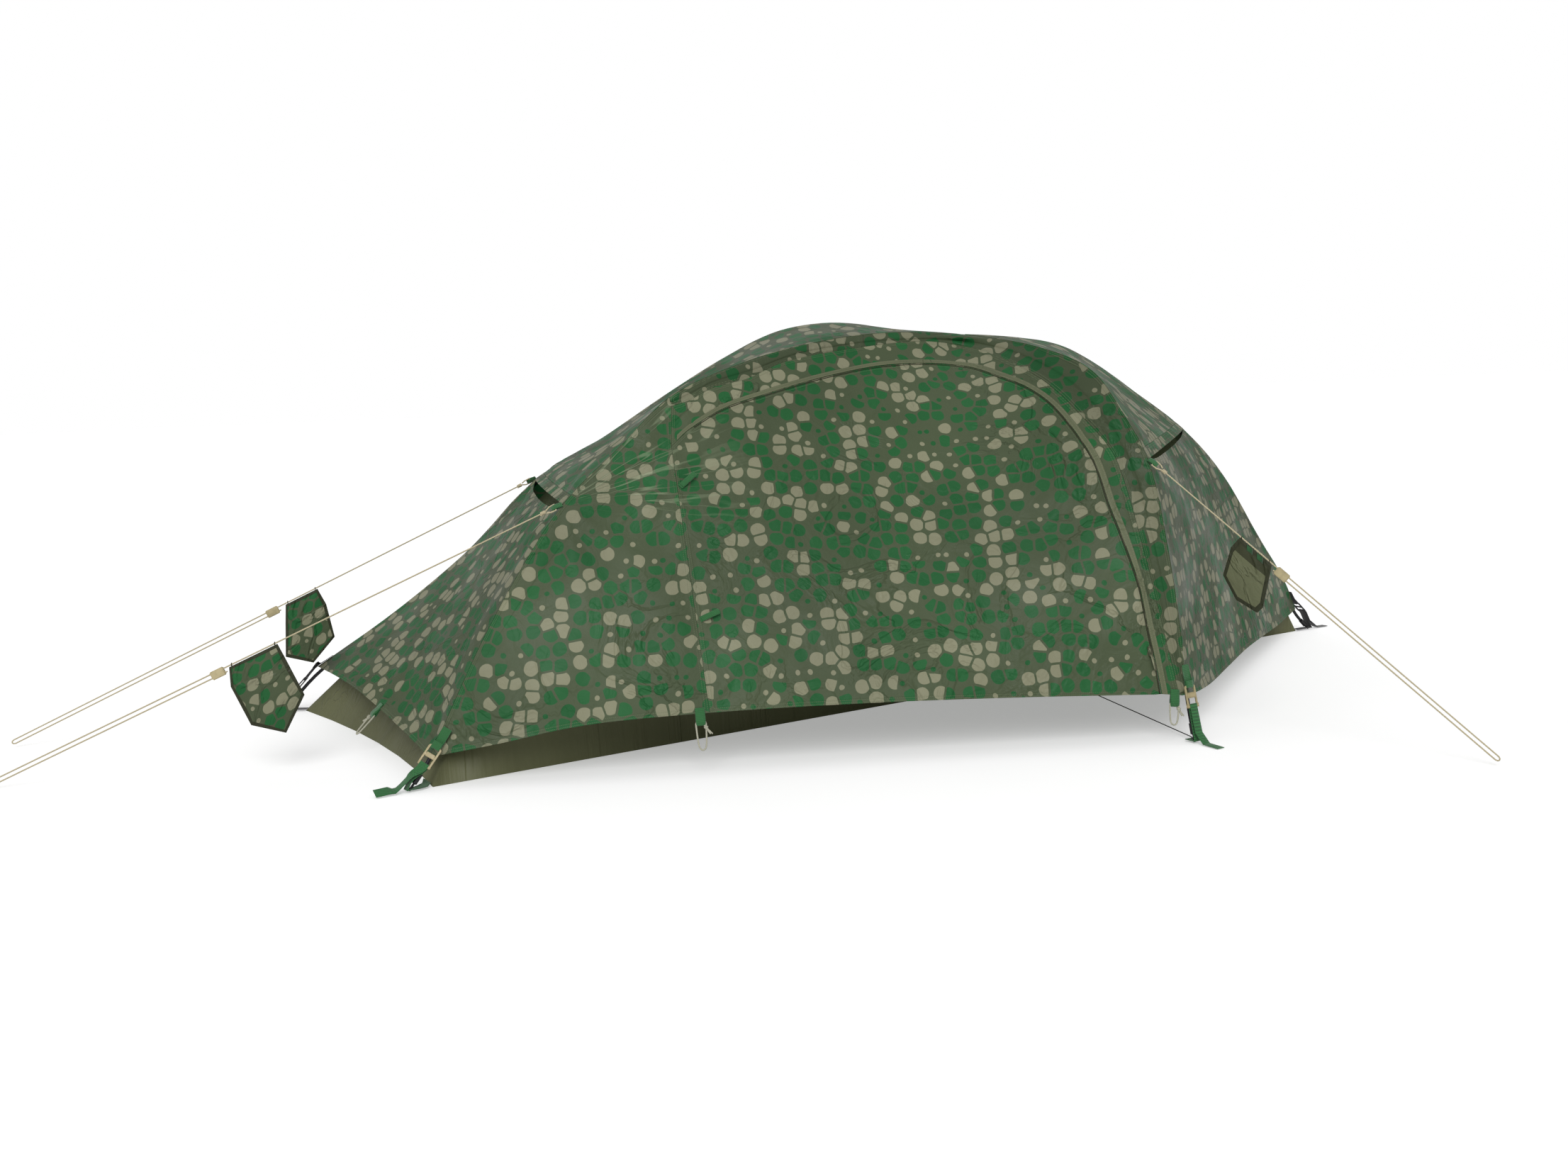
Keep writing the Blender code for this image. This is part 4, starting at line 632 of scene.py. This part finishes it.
def end_grid(leg_front, leg_back, hem_ctrl, inward, drop, cols=6):
    """An end panel between two legs, hollowed inwards; its top stays a little short of the legs' tops."""
    n = len(leg_front) - 1
    hem = resample(smooth(hem_ctrl)[0], cols)
    grid = np.zeros((cols + 1, n + 1, 3))
    length = norm(leg_front[-1] - leg_front[0])
    for j in range(cols + 1):
        t = j / cols
        bell = 4 * t * (1 - t)
        base = leg_front * (1 - t) + leg_back * t
        for i in range(n + 1):
            v = i / n * (1 - drop / length * math.sqrt(bell))
            hollow = unit(inward) * .016 * bell * 4 * v * (1 - v) ** 2
            p = read_off(base, np.arange(n + 1), v * n)
            grid[j, i] = p + (hem[j] - base[0]) * (1 - v) ** 2 + hollow
    return grid


def roof_grid(front, back, outward, rows=6):
    """The hood's hem strip and the roof panel behind it, sagging between two ridges."""
    n = len(front) - 1
    grid = np.zeros((rows + 1, n + 1, 3))
    front, back = front.copy(), back.copy()
    for line in (front, back):
        line[-1] += unit(line[-2] - line[-1]) * .014
    for j in range(rows + 1):
        t = j / rows
        bell = 4 * t * (1 - t)
        for i in range(n + 1):
            s = i / n
            width = norm(front[i] - back[i])
            hood = unit(outward) * .022 * bell * max(0.0, 1 - s * 2.2) ** 2
            sag = np.array([0, 0, .016]) * bell * 4 * s * (1 - s) * min(1.0, width / .5) ** 2
            grid[j, i] = front[i] * (1 - t) + back[i] * t + hood - sag
    step = norm(grid[rows // 2, 1] - grid[rows // 2, 0])
    cut = grid[:, :1] + (grid[:, 1:2] - grid[:, :1]) * min(.8, .025 / step)
    return np.concatenate([grid[:, :1], cut], 1), np.concatenate([cut, grid[:, 1:]], 1)


left_end = end_grid(A_LEG_L, B_LEG_L[::-1], LEFT_HEM, (1, .1, -.45), .026)
right_end = end_grid(B_LEG_R, A_LEG_R[::-1], RIGHT_HEM, (-1, .55, -.4), .014)
left_hem_grid, left_roof = roof_grid(chain(A_FL_P1, A_P1_C), B_C_BL[::-1], (-.8, 0, .5))
right_hem_grid, right_roof = roof_grid(B_FR_C, A_C_BR[::-1], (.7, -.35, .5))
back_ridge = chain(chain(B_C_BL, B_LEG_L)[::-1], chain(A_C_BR, A_LEG_R))
# The back's hem, about 2.6 m long, stops some 12 mm short at both ends
keep = np.linspace(.012 / 2.6, 1 - .012 / 2.6, len(back_ridge)) * 400
back_hem = read_off(resample(smooth(BACK_HEM)[0], 400), np.arange(401), keep)
back_grid = np.array([[low * (1 - v) + top * v + np.array([0, -1, -.35]) * .020 * 4 * v * (1 - v) *
                       min(1, norm(top - low) / .5) for top, low in zip(back_ridge, back_hem)]
                      for v in np.linspace(0, 1, 6)])


def finer(grid, kj, ki):
    """Draw a grid finer through its own points, smoothly in both directions."""
    def along(g, k):
        n = len(g)
        ext = np.concatenate([2 * g[:1] - g[1:2], g, 2 * g[-1:] - g[-2:-1]])
        out = []
        for i in range(n - 1):
            p0, p1, p2, p3 = ext[i:i + 4]
            for u in np.linspace(0, 1, k, endpoint=False):
                out.append(.5 * (2 * p1 + (p2 - p0) * u + (2 * p0 - 5 * p1 + 4 * p2 - p3) * u ** 2
                                 + (3 * p1 - p0 - 3 * p2 + p3) * u ** 3))
        return np.array(out + [g[-1]])
    return np.swapaxes(along(np.swapaxes(along(grid, kj), 0, 1), ki), 0, 1)


def inset(grid, gap=.00028):
    """Draw all four borders in by half a seam's gap, so that neighbours don't touch."""
    for _ in range(2):
        g = grid.copy()
        for edge, inner in ((0, 1), (-1, -2)):
            d = grid[inner] - grid[edge]
            g[edge] += d / norm(d, axis=1, keepdims=True) * gap
        grid = np.swapaxes(g, 0, 1)
    return grid


def normals_of(g):
    """The normal at every grid point, away from the middle of the tent."""
    n = np.cross(np.gradient(g, axis=1), np.gradient(g, axis=0))
    n /= np.maximum(norm(n, axis=2, keepdims=True), 1e-9)
    j, i = len(g) // 2, g.shape[1] // 2
    return n if np.dot(n[j, i], g[j, i] - CENTRE) > 0 else -n


def side_distances(g):
    """How far each grid point is from the first and last column and row, along the cloth."""
    def along(a, axis):
        step = norm(np.diff(a, axis=axis), axis=2)
        pad = [(0, 0), (0, 0)]
        pad[axis] = (1, 0)
        s = np.pad(np.cumsum(step, axis=axis), pad)
        total = s[:, -1:] if axis == 1 else s[-1:]
        return s, total - s
    return (*along(g, 1), *along(g, 0))


# Points that the cloth is pulled towards, how far the folds reach, how high they stand and how many there are
PULLS = [
    (CORNER_LF, .34, .0030, 9), (FOOT_LF, .30, .0026, 8), (SEAM_TOP, .22, .0022, 7), (FOOT_RF, .30, .0028, 8),
    (CORNER_RF, .28, .0026, 9), ((-.328, -.483, .123), .20, .0022, 9), (FOOT_LB, .28, .0026, 8),
    (FOOT_RB, .32, .0026, 8), (CORNER_LB, .30, .0026, 9), (CORNER_RB, .28, .0026, 9),
    ((-1.0166, -.0857, .084), .16, .0022, 9), ((-.366, -.27, .60), .14, .0020, 9)]


def fold_height(p, u_dir, v_dir, seed):
    """Folds that fan out from the nearest pulled points, and broad slack between them."""
    h = 0.0
    for k, (at, reach, height, count) in enumerate(PULLS):
        d = p - np.array(at)
        r = math.sqrt(float(d @ d))
        if r < reach * 2.2:
            wave = math.sin(math.atan2(float(d @ v_dir), float(d @ u_dir)) * count + k * 1.7 + seed)
            h += height * math.exp(-(r / reach) ** 2) * min(1.0, r / .05) * wave
    broad = noise.noise(Vector((p[0] * 4.2 + seed, p[1] * 4.2, p[2] * 4.2)))
    small = noise.noise(Vector((p[0] * 13.0, p[1] * 13.0 + seed, p[2] * 13.0)))
    return h + .0042 * broad + .0018 * small


def area_of(g):
    """The area of a grid, as two triangles in every cell."""
    low = norm(np.cross(g[1:, :-1] - g[:-1, :-1], g[:-1, 1:] - g[:-1, :-1]), axis=2).sum()
    high = norm(np.cross(g[1:, :-1] - g[1:, 1:], g[:-1, 1:] - g[1:, 1:]), axis=2).sum()
    return float(low / 2 + high / 2)


FLY = [M_FLY, M_FLY_INSIDE]


def cloth_piece(name, grid, replaces, fine, mats=FLY, body="tent", thick=CLOTH_T,
                folds=1.0, lift=0.0, soft_edge=.026, squeeze=(1.0, 1.0), fan=None):
    """A panel over its grid: drawn finer, folded and thickened outwards."""
    g = inset(finer(np.asarray(grid, float), *fine))
    nrm = normals_of(g)
    mean = unit(nrm.mean(axis=(0, 1)))
    u_dir = unit(np.cross((0, 0, 1), mean)) if abs(mean[2]) < .9 else np.array([1.0, 0, 0])
    v_dir = np.cross(mean, u_dir)
    dist = side_distances(g)
    seed = sum(map(ord, name)) % 17
    rows, cols = g.shape[:2]
    ease = np.clip(np.minimum.reduce(dist) / soft_edge, 0, 1)
    ease = ease * ease * (3 - 2 * ease)
    heights = np.array([[fold_height(q, u_dir, v_dir, seed) for q in row] for row in g])
    g = g + nrm * ((heights * folds * ease) + lift)[..., None] + SHIFT
    faces = [(a, a + 1, a + cols + 1, a + cols)
             for a in (j * cols + i for j in range(rows - 1) for i in range(cols - 1))]
    j, i = rows // 2, cols // 2
    if np.dot(np.cross(g[j, i + 1] - g[j, i], g[j + 1, i] - g[j, i]), nrm[j, i]) < 0:
        faces = [f[::-1] for f in faces]
    mesh = bpy.data.meshes.new(name)
    mesh.from_pydata(g.reshape(-1, 3).tolist(), [], faces)
    local = g - SHIFT
    flat = np.stack([local @ u_dir * squeeze[0], local @ v_dir * squeeze[1]], 2).reshape(-1, 2) + seed * 1.37
    rays = np.full((rows * cols, 2), .5)
    if fan is not None:
        away = (local - np.array(fan)).reshape(-1, 3)
        rays = np.stack([np.arctan2(away @ v_dir, away @ u_dir), norm(away, axis=1)], 1)
    add_uvs(mesh, {"cloth": flat, "sides": np.stack(dist[:2], 2).reshape(-1, 2),
                   "ends": np.stack(dist[2:], 2).reshape(-1, 2), "fan": rays})
    ob = link(name, mesh, mats, body)
    mod = ob.modifiers.new("thickness", 'SOLIDIFY')
    mod.thickness = thick
    mod.offset = 1.0 if lift == 0 else 0.0
    if len(mats) > 1:
        mod.material_offset = 1
    apply_all(ob)
    shade_smooth(ob.data, 50)
    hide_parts(replaces)
    width, length, area = float((dist[0] + dist[1]).max()), float((dist[2] + dist[3]).max()), area_of(g)
    width = min(width, area / (.4 * length))


cloth_piece("front_left_cloth", front_left, "fly_front_left_panel", (6, 6), soft_edge=.060, fan=CORNER_LF)
cloth_piece("door_cloth", door_grid, "door_panel", (9, 3), body="door", fan=CORNER_LF)
cloth_piece("arch_cloth", np.array([zip_nodes, flap_line, band_nodes]), "fly_front_arch_panel", (4, 3))
# The brow: its upper part stands out as a sleeve along the ridge
raise_by = unit((0, -1, .8)) * .0030
low_edge, high_edge = (band_nodes * a + ridge_nodes * (1 - a) for a in (.60, .53))
low_edge, high_edge = (q + (brow_mid - (band_nodes + ridge_nodes) / 2) * .9 for q in (low_edge, high_edge))
sleeve = (high_edge + ridge_nodes) / 2 + raise_by * .7
brow = [band_nodes, (band_nodes + low_edge) / 2, low_edge, high_edge + raise_by, sleeve, ridge_nodes]
cloth_piece("brow_cloth", np.array(brow), "fly_brow_band", (3, 4), folds=1.1, soft_edge=.012, fan=CORNER_LF)
cloth_piece("left_end_cloth", left_end, "fly_left_end_panel", (9, 7), squeeze=(.70, 1.0))
cloth_piece("right_end_cloth", right_end, "fly_right_end_panel", (10, 7), [M_FLY_END_SHADED, M_FLY_INSIDE],
            squeeze=(.85, 1.0))
cloth_piece("left_roof_cloth", left_roof, "fly_left_roof_panel", (8, 3), squeeze=(1.0, .62))
cloth_piece("right_roof_cloth", right_roof, "fly_right_roof_panel", (9, 4), squeeze=(1.0, .80))
cloth_piece("left_hood_cloth", left_hem_grid, "left_hood_hem", (8, 5), thick=.0013, folds=0.0)
cloth_piece("right_hood_cloth", right_hem_grid, "right_hood_hem", (8, 5), thick=.0013, folds=0.0)
cloth_piece("back_cloth", back_grid, "fly_back_panel", (7, 3))
flap_low, flap_top = zip_nodes.copy(), flap_line.copy()
for line in (flap_low, flap_top):
    line[0] += (line[1] - line[0]) * .35
flap_in, flap_out = (flap_low + (flap_top - flap_low) * a for a in (.06, .90))
flap = np.array([flap_in, (flap_in + flap_out) / 2, flap_out])
cloth_piece("zip_flap_cloth", flap, "door_zip_flap", (3, 3), [M_FLAP], thick=.0010,
            folds=0.0, lift=.0018)


# Copies of the imported solids in their own materials: straps, buckles and poles rounded, floor and inner as
# they are
# The left front corner of the hem, and the line up its leg, across it and out of it
CORNER = Vector(np.array(FOOT_LF) + SHIFT)
CORNER_UP, CORNER_SIDE = Vector((.5972, .2815, .7510)).normalized(), Vector((.4264, -.9045, 0)).normalized()
CORNER_OUT = Vector((-.6794, -.3202, .6602)).normalized()
# How far the webbing there is twisted, and how far its tail tips, in degrees
TWIST, TAIL_TIP = 46, 34


def corner_turn(co):
    """Twist a point of the left front webbing, more the higher it is, and tip its tail."""
    d = co - CORNER
    s, a, n = d.dot(CORNER_UP), d.dot(CORNER_SIDE), d.dot(CORNER_OUT)
    w = min(1.0, max(0.0, (s + .060) / .034))
    w = w * w * (3 - 2 * w)
    ang = math.radians(TWIST) * w
    side = CORNER_SIDE * math.cos(ang) - CORNER_OUT * math.sin(ang)
    out = CORNER_OUT * math.cos(ang) + CORNER_SIDE * math.sin(ang)
    q = CORNER + CORNER_UP * s + side * (a + .004 * w) + out * (n + .0020 * w)
    away = Vector((CORNER_UP.x, CORNER_UP.y, 0)).normalized()
    t = min(1.0, max(0.0, ((CORNER - CORNER_UP * .0756 - co).dot(away) - .016) / .022))
    tip = math.radians(TAIL_TIP) * t * t * (3 - 2 * t)
    if tip > 0 and s < -.05:
        base = Vector((0, 0, math.sin(tip) * .0102))
        q = q - CORNER_SIDE * (a * (1 - math.cos(tip))) - Vector((0, 0, 1)) * (a * math.sin(tip)) + base
    return q


def packed_copy(node, name, mat, level=0, bevel=0.0, turn=None):
    """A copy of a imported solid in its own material: rounded by level or bevel, and turned point by point."""
    mesh = NODES[node].data.copy()
    mesh.name = name
    mesh.materials.clear()
    bm = bmesh.new()
    bm.from_mesh(mesh)
    bmesh.ops.remove_doubles(bm, verts=bm.verts[:], dist=.00002)
    bmesh.ops.dissolve_limit(bm, angle_limit=math.radians(.6), verts=bm.verts[:], edges=bm.edges[:])
    bmesh.ops.recalc_face_normals(bm, faces=bm.faces[:])
    if turn:
        long_edges = [e for e in bm.edges if e.calc_length() > .006]
        bmesh.ops.subdivide_edges(bm, edges=long_edges, cuts=3, use_grid_fill=True)
        for v in bm.verts:
            v.co = turn(v.co.copy())
    if level:
        layer = bm.edges.layers.float.get("crease_edge") or bm.edges.layers.float.new("crease_edge")
        for e in bm.edges:
            if len(e.link_faces) == 2 and e.calc_face_angle(0.0) > math.radians(60):
                e[layer] = .9
    bm.to_mesh(mesh)
    bm.free()
    ob = link(name, mesh, [mat], BODY[node])
    if bevel:
        mod = ob.modifiers.new("edges", 'BEVEL')
        mod.width, mod.segments, mod.limit_method = bevel, 2, 'ANGLE'
        mod.angle_limit = math.radians(40)
    if level:
        mod = ob.modifiers.new("smooth", 'SUBSURF')
        mod.levels = mod.render_levels = level
    apply_all(ob)
    shade_smooth(ob.data, 48)
    # Flat coordinates in metres, along the piece's long axis and its width
    co, mid, axes = own_axes(ob.data)
    without_borders(ob.data, (co - mid) @ axes[:, [1, 2]])
    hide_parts(node)


for k in ("left_front", "right_front", "left_back", "right_back"):
    web, web_slot, plastic, plastic_slot = M_WEB, "webbing", M_BUCKLE, "buckle_plastic"
    if k.endswith("back"):
        web, web_slot, plastic, plastic_slot = M_WEB_BLACK, "black_cord", M_TIP, "tip_plastic"
    turn = corner_turn if k == "left_front" else None
    packed_copy(f"corner_strap_{k}", f"corner_web_{k}", web, 2, turn=turn)
    packed_copy(f"foot_strap_{k}", f"foot_web_{k}", web, bevel=.0003, turn=turn)
    packed_copy(f"corner_buckle_{k}", f"ladder_buckle_{k}", plastic, bevel=.0009, turn=turn)
    NODES[f"pole_tip_{k}"].data.materials.clear()
    NODES[f"pole_tip_{k}"].data.materials.append(M_TIP)
for k in ("front", "left", "right"):
    packed_copy(f"hem_tab_{k}", f"tab_web_{k}", M_WEB, 2)
for k in ("upper", "lower"):
    packed_copy(f"door_tieback_{k}", f"tieback_web_{k}", M_WEB, 2)
for k in CORDS:
    packed_copy(f"guy_webbing_{k}", f"guy_web_{k}", M_WEB, 2)
    packed_copy(f"guy_slider_{k}", f"slider_body_{k}", M_SLIDER, bevel=.0004)
for a in "ab":
    for k in (1, 2, 3):
        packed_copy(f"pole_{a}_section_{k}", f"pole_tube_{a}{k}", M_POLE, 2)
packed_copy("bathtub_floor", "floor_tub", M_FLOOR)
packed_copy("inner_canopy", "inner_cloth", M_INNER)


def buckle_bars(k):
    """Two thicker bars on a front buckle: its middle one and its foot."""
    _, mid, axes = own_axes(bpy.data.objects[f"ladder_buckle_{k}"].data)
    mid, ax = Vector(mid), [Vector(axes[:, n]) for n in (2, 1, 0)]
    if ax[0].z < 0:
        ax[0] = -ax[0]
    for part, along, size, bevel in (("bar", .0012, (.0095, .0195, .0036), .0010),
                                     ("foot", -.0207, (.0060, .0295, .0038), .0012)):
        block(f"buckle_{part}_{k}", mid + ax[0] * along, ax, size, M_BUCKLE, "tent", bevel)


buckle_bars("left_front")
buckle_bars("right_front")
packed_copy("zip_slider", "zip_slider_body", M_METAL, 1)
packed_copy("zip_puller", "zip_pull_tab", M_METAL, bevel=.0006)


def zip_bridge():
    """The wire arch over the slider that the puller hangs from."""
    slider, puller = JOINT["zip_slider"], JOINT["zip_puller"]
    at, ahead = Vector(puller["pos_m"]), Vector(slider["axis"]).normalized()
    up = ahead.cross(Vector(puller["axis"]).normalized()).normalized()
    if up.dot(at - Vector(slider["pos_m"])) < 0:
        up = -up
    arch = [at + ahead * (.0042 * math.cos(a)) + up * (.0044 * math.sin(a) - .0024)
            for a in (math.pi * k / 12 for k in range(13))]
    cord_curve("zip_bridge", arch, .0006, M_METAL, "zip_slider")


zip_bridge()


# Storage pouches: printed shields with a bound edge and rings on the cord
POUCHES = {
    "left_front": ([(0, .0033), (.110, .0033), (.126, .043), (.161, .133), (.114, .192), (.038, .142),
                    (0, .044)], 1),
    "left_back": ([(0, .0033), (.081, .0033), (.100, .049), (.115, .134), (.0575, .169), (-.010, .123),
                   (-.004, .046)], 1),
    "right": ([(0, .0033), (.085, .0033), (.108, .038), (.129, .110), (.093, .138), (.037, .127),
               (.022, .106)], -1),
}


def pouch(key, outline, front):
    """A thin padded shield: two skins from the middle out, with a bound rim as the last ring."""
    body = f"storage_pouch_{key}"
    at = Vector(JOINT[body]["pos_m"])
    e1, e2 = -Vector(JOINT[body]["axis"]).normalized(), Vector((0, 0, -1))
    face = e1.cross(e2).normalized()
    if face.dot(SCENE.camera.matrix_world.translation - at) < 0:
        face = -face
    corners = np.array(outline)
    steps = np.linspace(0, 1, 9)[:-1, None]
    rim = np.vstack([a + (b - a) * steps for a, b in zip(corners, np.roll(corners, -1, axis=0))])
    mid = corners.mean(0)
    spokes = rim - mid
    reach = norm(spokes, axis=1)
    n, verts, faces, mats, uvs = len(rim), [], [], [], []
    for side, sgn in ((0, 1), (1, -1)):
        for ring, f in enumerate((.18, .36, .54, .70, .84, 0, 0, 1)):
            for k in range(n):
                share = f if ring < 5 else (1 - (.0072, .0066, 0)[ring - 5] / reach[k])
                q = mid + spokes[k] * share
                puff = (1 - share ** 3) * (.0050 if side == 0 else .0028)
                dent = .0013 * noise.noise(Vector((q[0] * 34, q[1] * 34, 3.0 + side)))
                h = .0010 + puff + dent * (share < .95) + (.0007 if ring >= 6 else 0.0)
                verts.append(tuple(at + e1 * q[0] + e2 * q[1] + face * sgn * h))
                uvs.append(tuple(q * POUCH_SCALE + POUCH_PLACE))
        base = side * 8 * n
        order = 1 if side == 0 else -1
        for ring in range(7):
            for k in range(n):
                a, b = base + ring * n + k, base + ring * n + (k + 1) % n
                faces.append([a, b, b + n, a + n][::order])
                skin = side if front > 0 else 1 - side
                mats.append(2 if ring >= 5 or (skin and ring == 4) else skin)
        faces.append(list(range(base, base + n))[::-order])
        mats.append(side if front > 0 else 1 - side)
    for k in range(n):
        faces.append([7 * n + k, 7 * n + (k + 1) % n, 15 * n + (k + 1) % n, 15 * n + k])
        mats.append(2)
    mesh = bpy.data.meshes.new(f"pouch_{key}")
    mesh.from_pydata(verts, [], faces)
    without_borders(mesh, np.array(uvs))
    turn_faces_out(mesh)
    shade_smooth(mesh, 50)
    ob = link(mesh.name, mesh, [M_FLY, M_POUCH_BACK, M_FLAP_DARK], body)
    mesh.polygons.foreach_set("material_index", mats)
    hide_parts(body)
    for n, u in enumerate((.030, .057) if front < 0 else ()):
        block(f"pouch_tab_{key}_{n}", at + e1 * u + e2 * .0095 + face * .0034, [e1, e2, face],
              (.015, .012, .0012), M_WEB, body, .0005)
    for n, u in enumerate((.0055, outline[1][0] - .0055)):
        ring = [at + e1 * u + (e2 * math.cos(a) + face * math.sin(a)) * .0030
                for a in (2 * math.pi * k / 12 for k in range(12))]
        cord_curve(f"pouch_ring_{key}_{n}", ring, .0008, M_FLAP_DARK, body, True)


for key, spec in POUCHES.items():
    pouch(key, *spec)
for key, (ob, route) in CORDS.items():
    length_of(route)


# Peg loops: knotted pale cord through each hem tab
def knot(name, at, axis, wire, mat, body, turns):
    """Turns of a cord wound tightly round a point, along an axis."""
    axis = axis.normalized()
    side = axis.orthogonal().normalized()
    up = axis.cross(side)
    pts = []
    for k in range(turns * 10 + 1):
        a = 2 * math.pi * k / 10
        pts.append(at + axis * (k / (turns * 10) - .5) * turns * wire * 1.9
                   + (side * math.cos(a) + up * math.sin(a)) * .0030)
    cord_curve(name, pts, wire, mat, body)


# Half of a loop's outline: how far out and how far down, which is a share of its length from the third on
LOOP_HALF = [(.0080, .0), (.0098, .004), (.0098, .25), (.0090, .55), (.0078, .78), (.0055, .93), (0.0, 1.0)]


def peg_loop(k):
    """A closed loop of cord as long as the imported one, with a knot below the tab and two loose ends."""
    node = f"peg_loop_{k}"
    at, side = Vector(JOINT[node]["pos_m"]), Vector(JOINT[node]["axis"]).normalized()
    co = np.array([v.co for v in NODES[node].data.vertices])
    down = Vector(co.mean(0)) - at
    down = (down - side * down.dot(side)).normalized()
    long = max((Vector(c) - at).dot(down) for c in co) - .0014
    half = [(a, b if b < .1 else b * long) for a, b in LOOP_HALF]
    ring = [(-a, b, 0) for a, b in half] + [(a, b, 0) for a, b in half[-2::-1]]
    dense = smooth(ring + [(-half[0][0] + .004, -.0001, 0)], 5)[0]
    loop = [at + side * float(a) + down * float(b) for a, b, _ in dense]
    ob = cord_curve(f"peg_cord_{k}", loop, .00175, M_PALE, node, True)
    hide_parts(node)
    tied = at + side * .0097 + down * .012
    knot(f"peg_knot_{k}", tied, down, .00165, M_PALE, node, 2)
    for n, lean in enumerate((.45, .75)):
        tip = [tied + (side * lean * u + down * u) * .014 + side * .0015 * u * u for u in (0.0, .35, .7, 1.0)]
        cord_curve(f"peg_end_{k}_{n}", tip, .0015, M_PALE, node)


for k in ("front", "left", "right"):
    peg_loop(k)
for key, route in GUY_ROUTES.items():
    a, b = Vector(route[5]), Vector(route[6])
    at = a + (b - a).normalized() * .004
    knot(f"guy_knot_{key}", at, b - a, .0014, M_CORD, "tent", 4)


# Zip: a dark coil along the door's edge, thicker down its right side, where the extra width is a painted
# shadow of the flap over it
def zip_coil():
    line, below = (finer(np.array(pair), 1, 4)[0]
                   for pair in ((zip_nodes, zip_nodes), (door_grid[-2], zip_nodes)))
    out = unit((0, -1, .45)) * (CLOTH_T + .0006)
    pts = []
    for q, low in zip(line, below):
        away = unit(q - low) if norm(q - low) > 1e-6 else np.array([0, 0, 1.0])
        pts.append(Vector(q - away * .0030 + out + SHIFT))
    # It starts a little way from the seam
    pts = pts[6:]
    # Painted shadow: past the top the coil widens, standing for the dark line of the flap's shadow
    radii = [.0008 * (1 + .9 * min(1.0, max(0.0, n / len(pts) - .45) / .2)) for n in range(len(pts))]
    tapered("zip_coil", pts, radii, M_FLAP_DARK, "door")


zip_coil()


# Studio: the sky's strength, the floor's glow for the camera, and each lamp's place, strength and spread
SKY, FLOOR_ADDS = .46, .36
LAMPS = {"key": ((-.9, -4.2, 3.2), 1.42, 35), "top": ((-1.0, .6, 4.0), .12, 60)}


def studio():
    t = Tree("floor", .9, 0.0, 0.0, .1)
    t.colour(t.mix(t.noise(3.0, t.place()), (.93, .93, .93, 1), (.90, .90, .90, 1)))
    seen = t.times(t.add("LightPath").outputs["Is Camera Ray"], FLOOR_ADDS)
    glow = t.add("Emission", {"Color": (1, 1, 1, 1), "Strength": seen})
    both = t.add("AddShader", {0: t.bsdf.outputs[0], 1: glow.outputs[0]})
    t.into(both.outputs[0], t.nt.nodes["Material Output"].inputs[0])
    bpy.ops.mesh.primitive_plane_add(size=40, location=(0, 0, -.0004))
    floor = bpy.context.object
    floor.name = "studio_floor"
    floor.data.materials.append(t.mat)
    world = bpy.data.worlds.new("world")
    SCENE.world = world
    world.use_nodes = True
    w = Nodes(world.node_tree)
    back, path = w.nt.nodes["Background"], w.add("LightPath").outputs
    back.inputs[0].default_value = (1, 1, 1, 1)
    seen = w.math('MAXIMUM', path["Is Camera Ray"], path["Is Transmission Ray"])
    w.into(w.add("MapRange", {"Value": seen, "To Min": SKY, "To Max": 1.0}).outputs[0], back.inputs[1])
    for name, (at, strength, spread) in LAMPS.items():
        data = bpy.data.lights.new(name, 'SUN')
        data.energy, data.angle = strength, math.radians(spread)
        lamp = bpy.data.objects.new(name, data)
        SCENE.collection.objects.link(lamp)
        lamp.location = at
        lamp.rotation_euler = (-Vector(at)).to_track_quat('-Z', 'Y').to_euler()


studio()
SCENE.view_settings.view_transform = 'Standard'
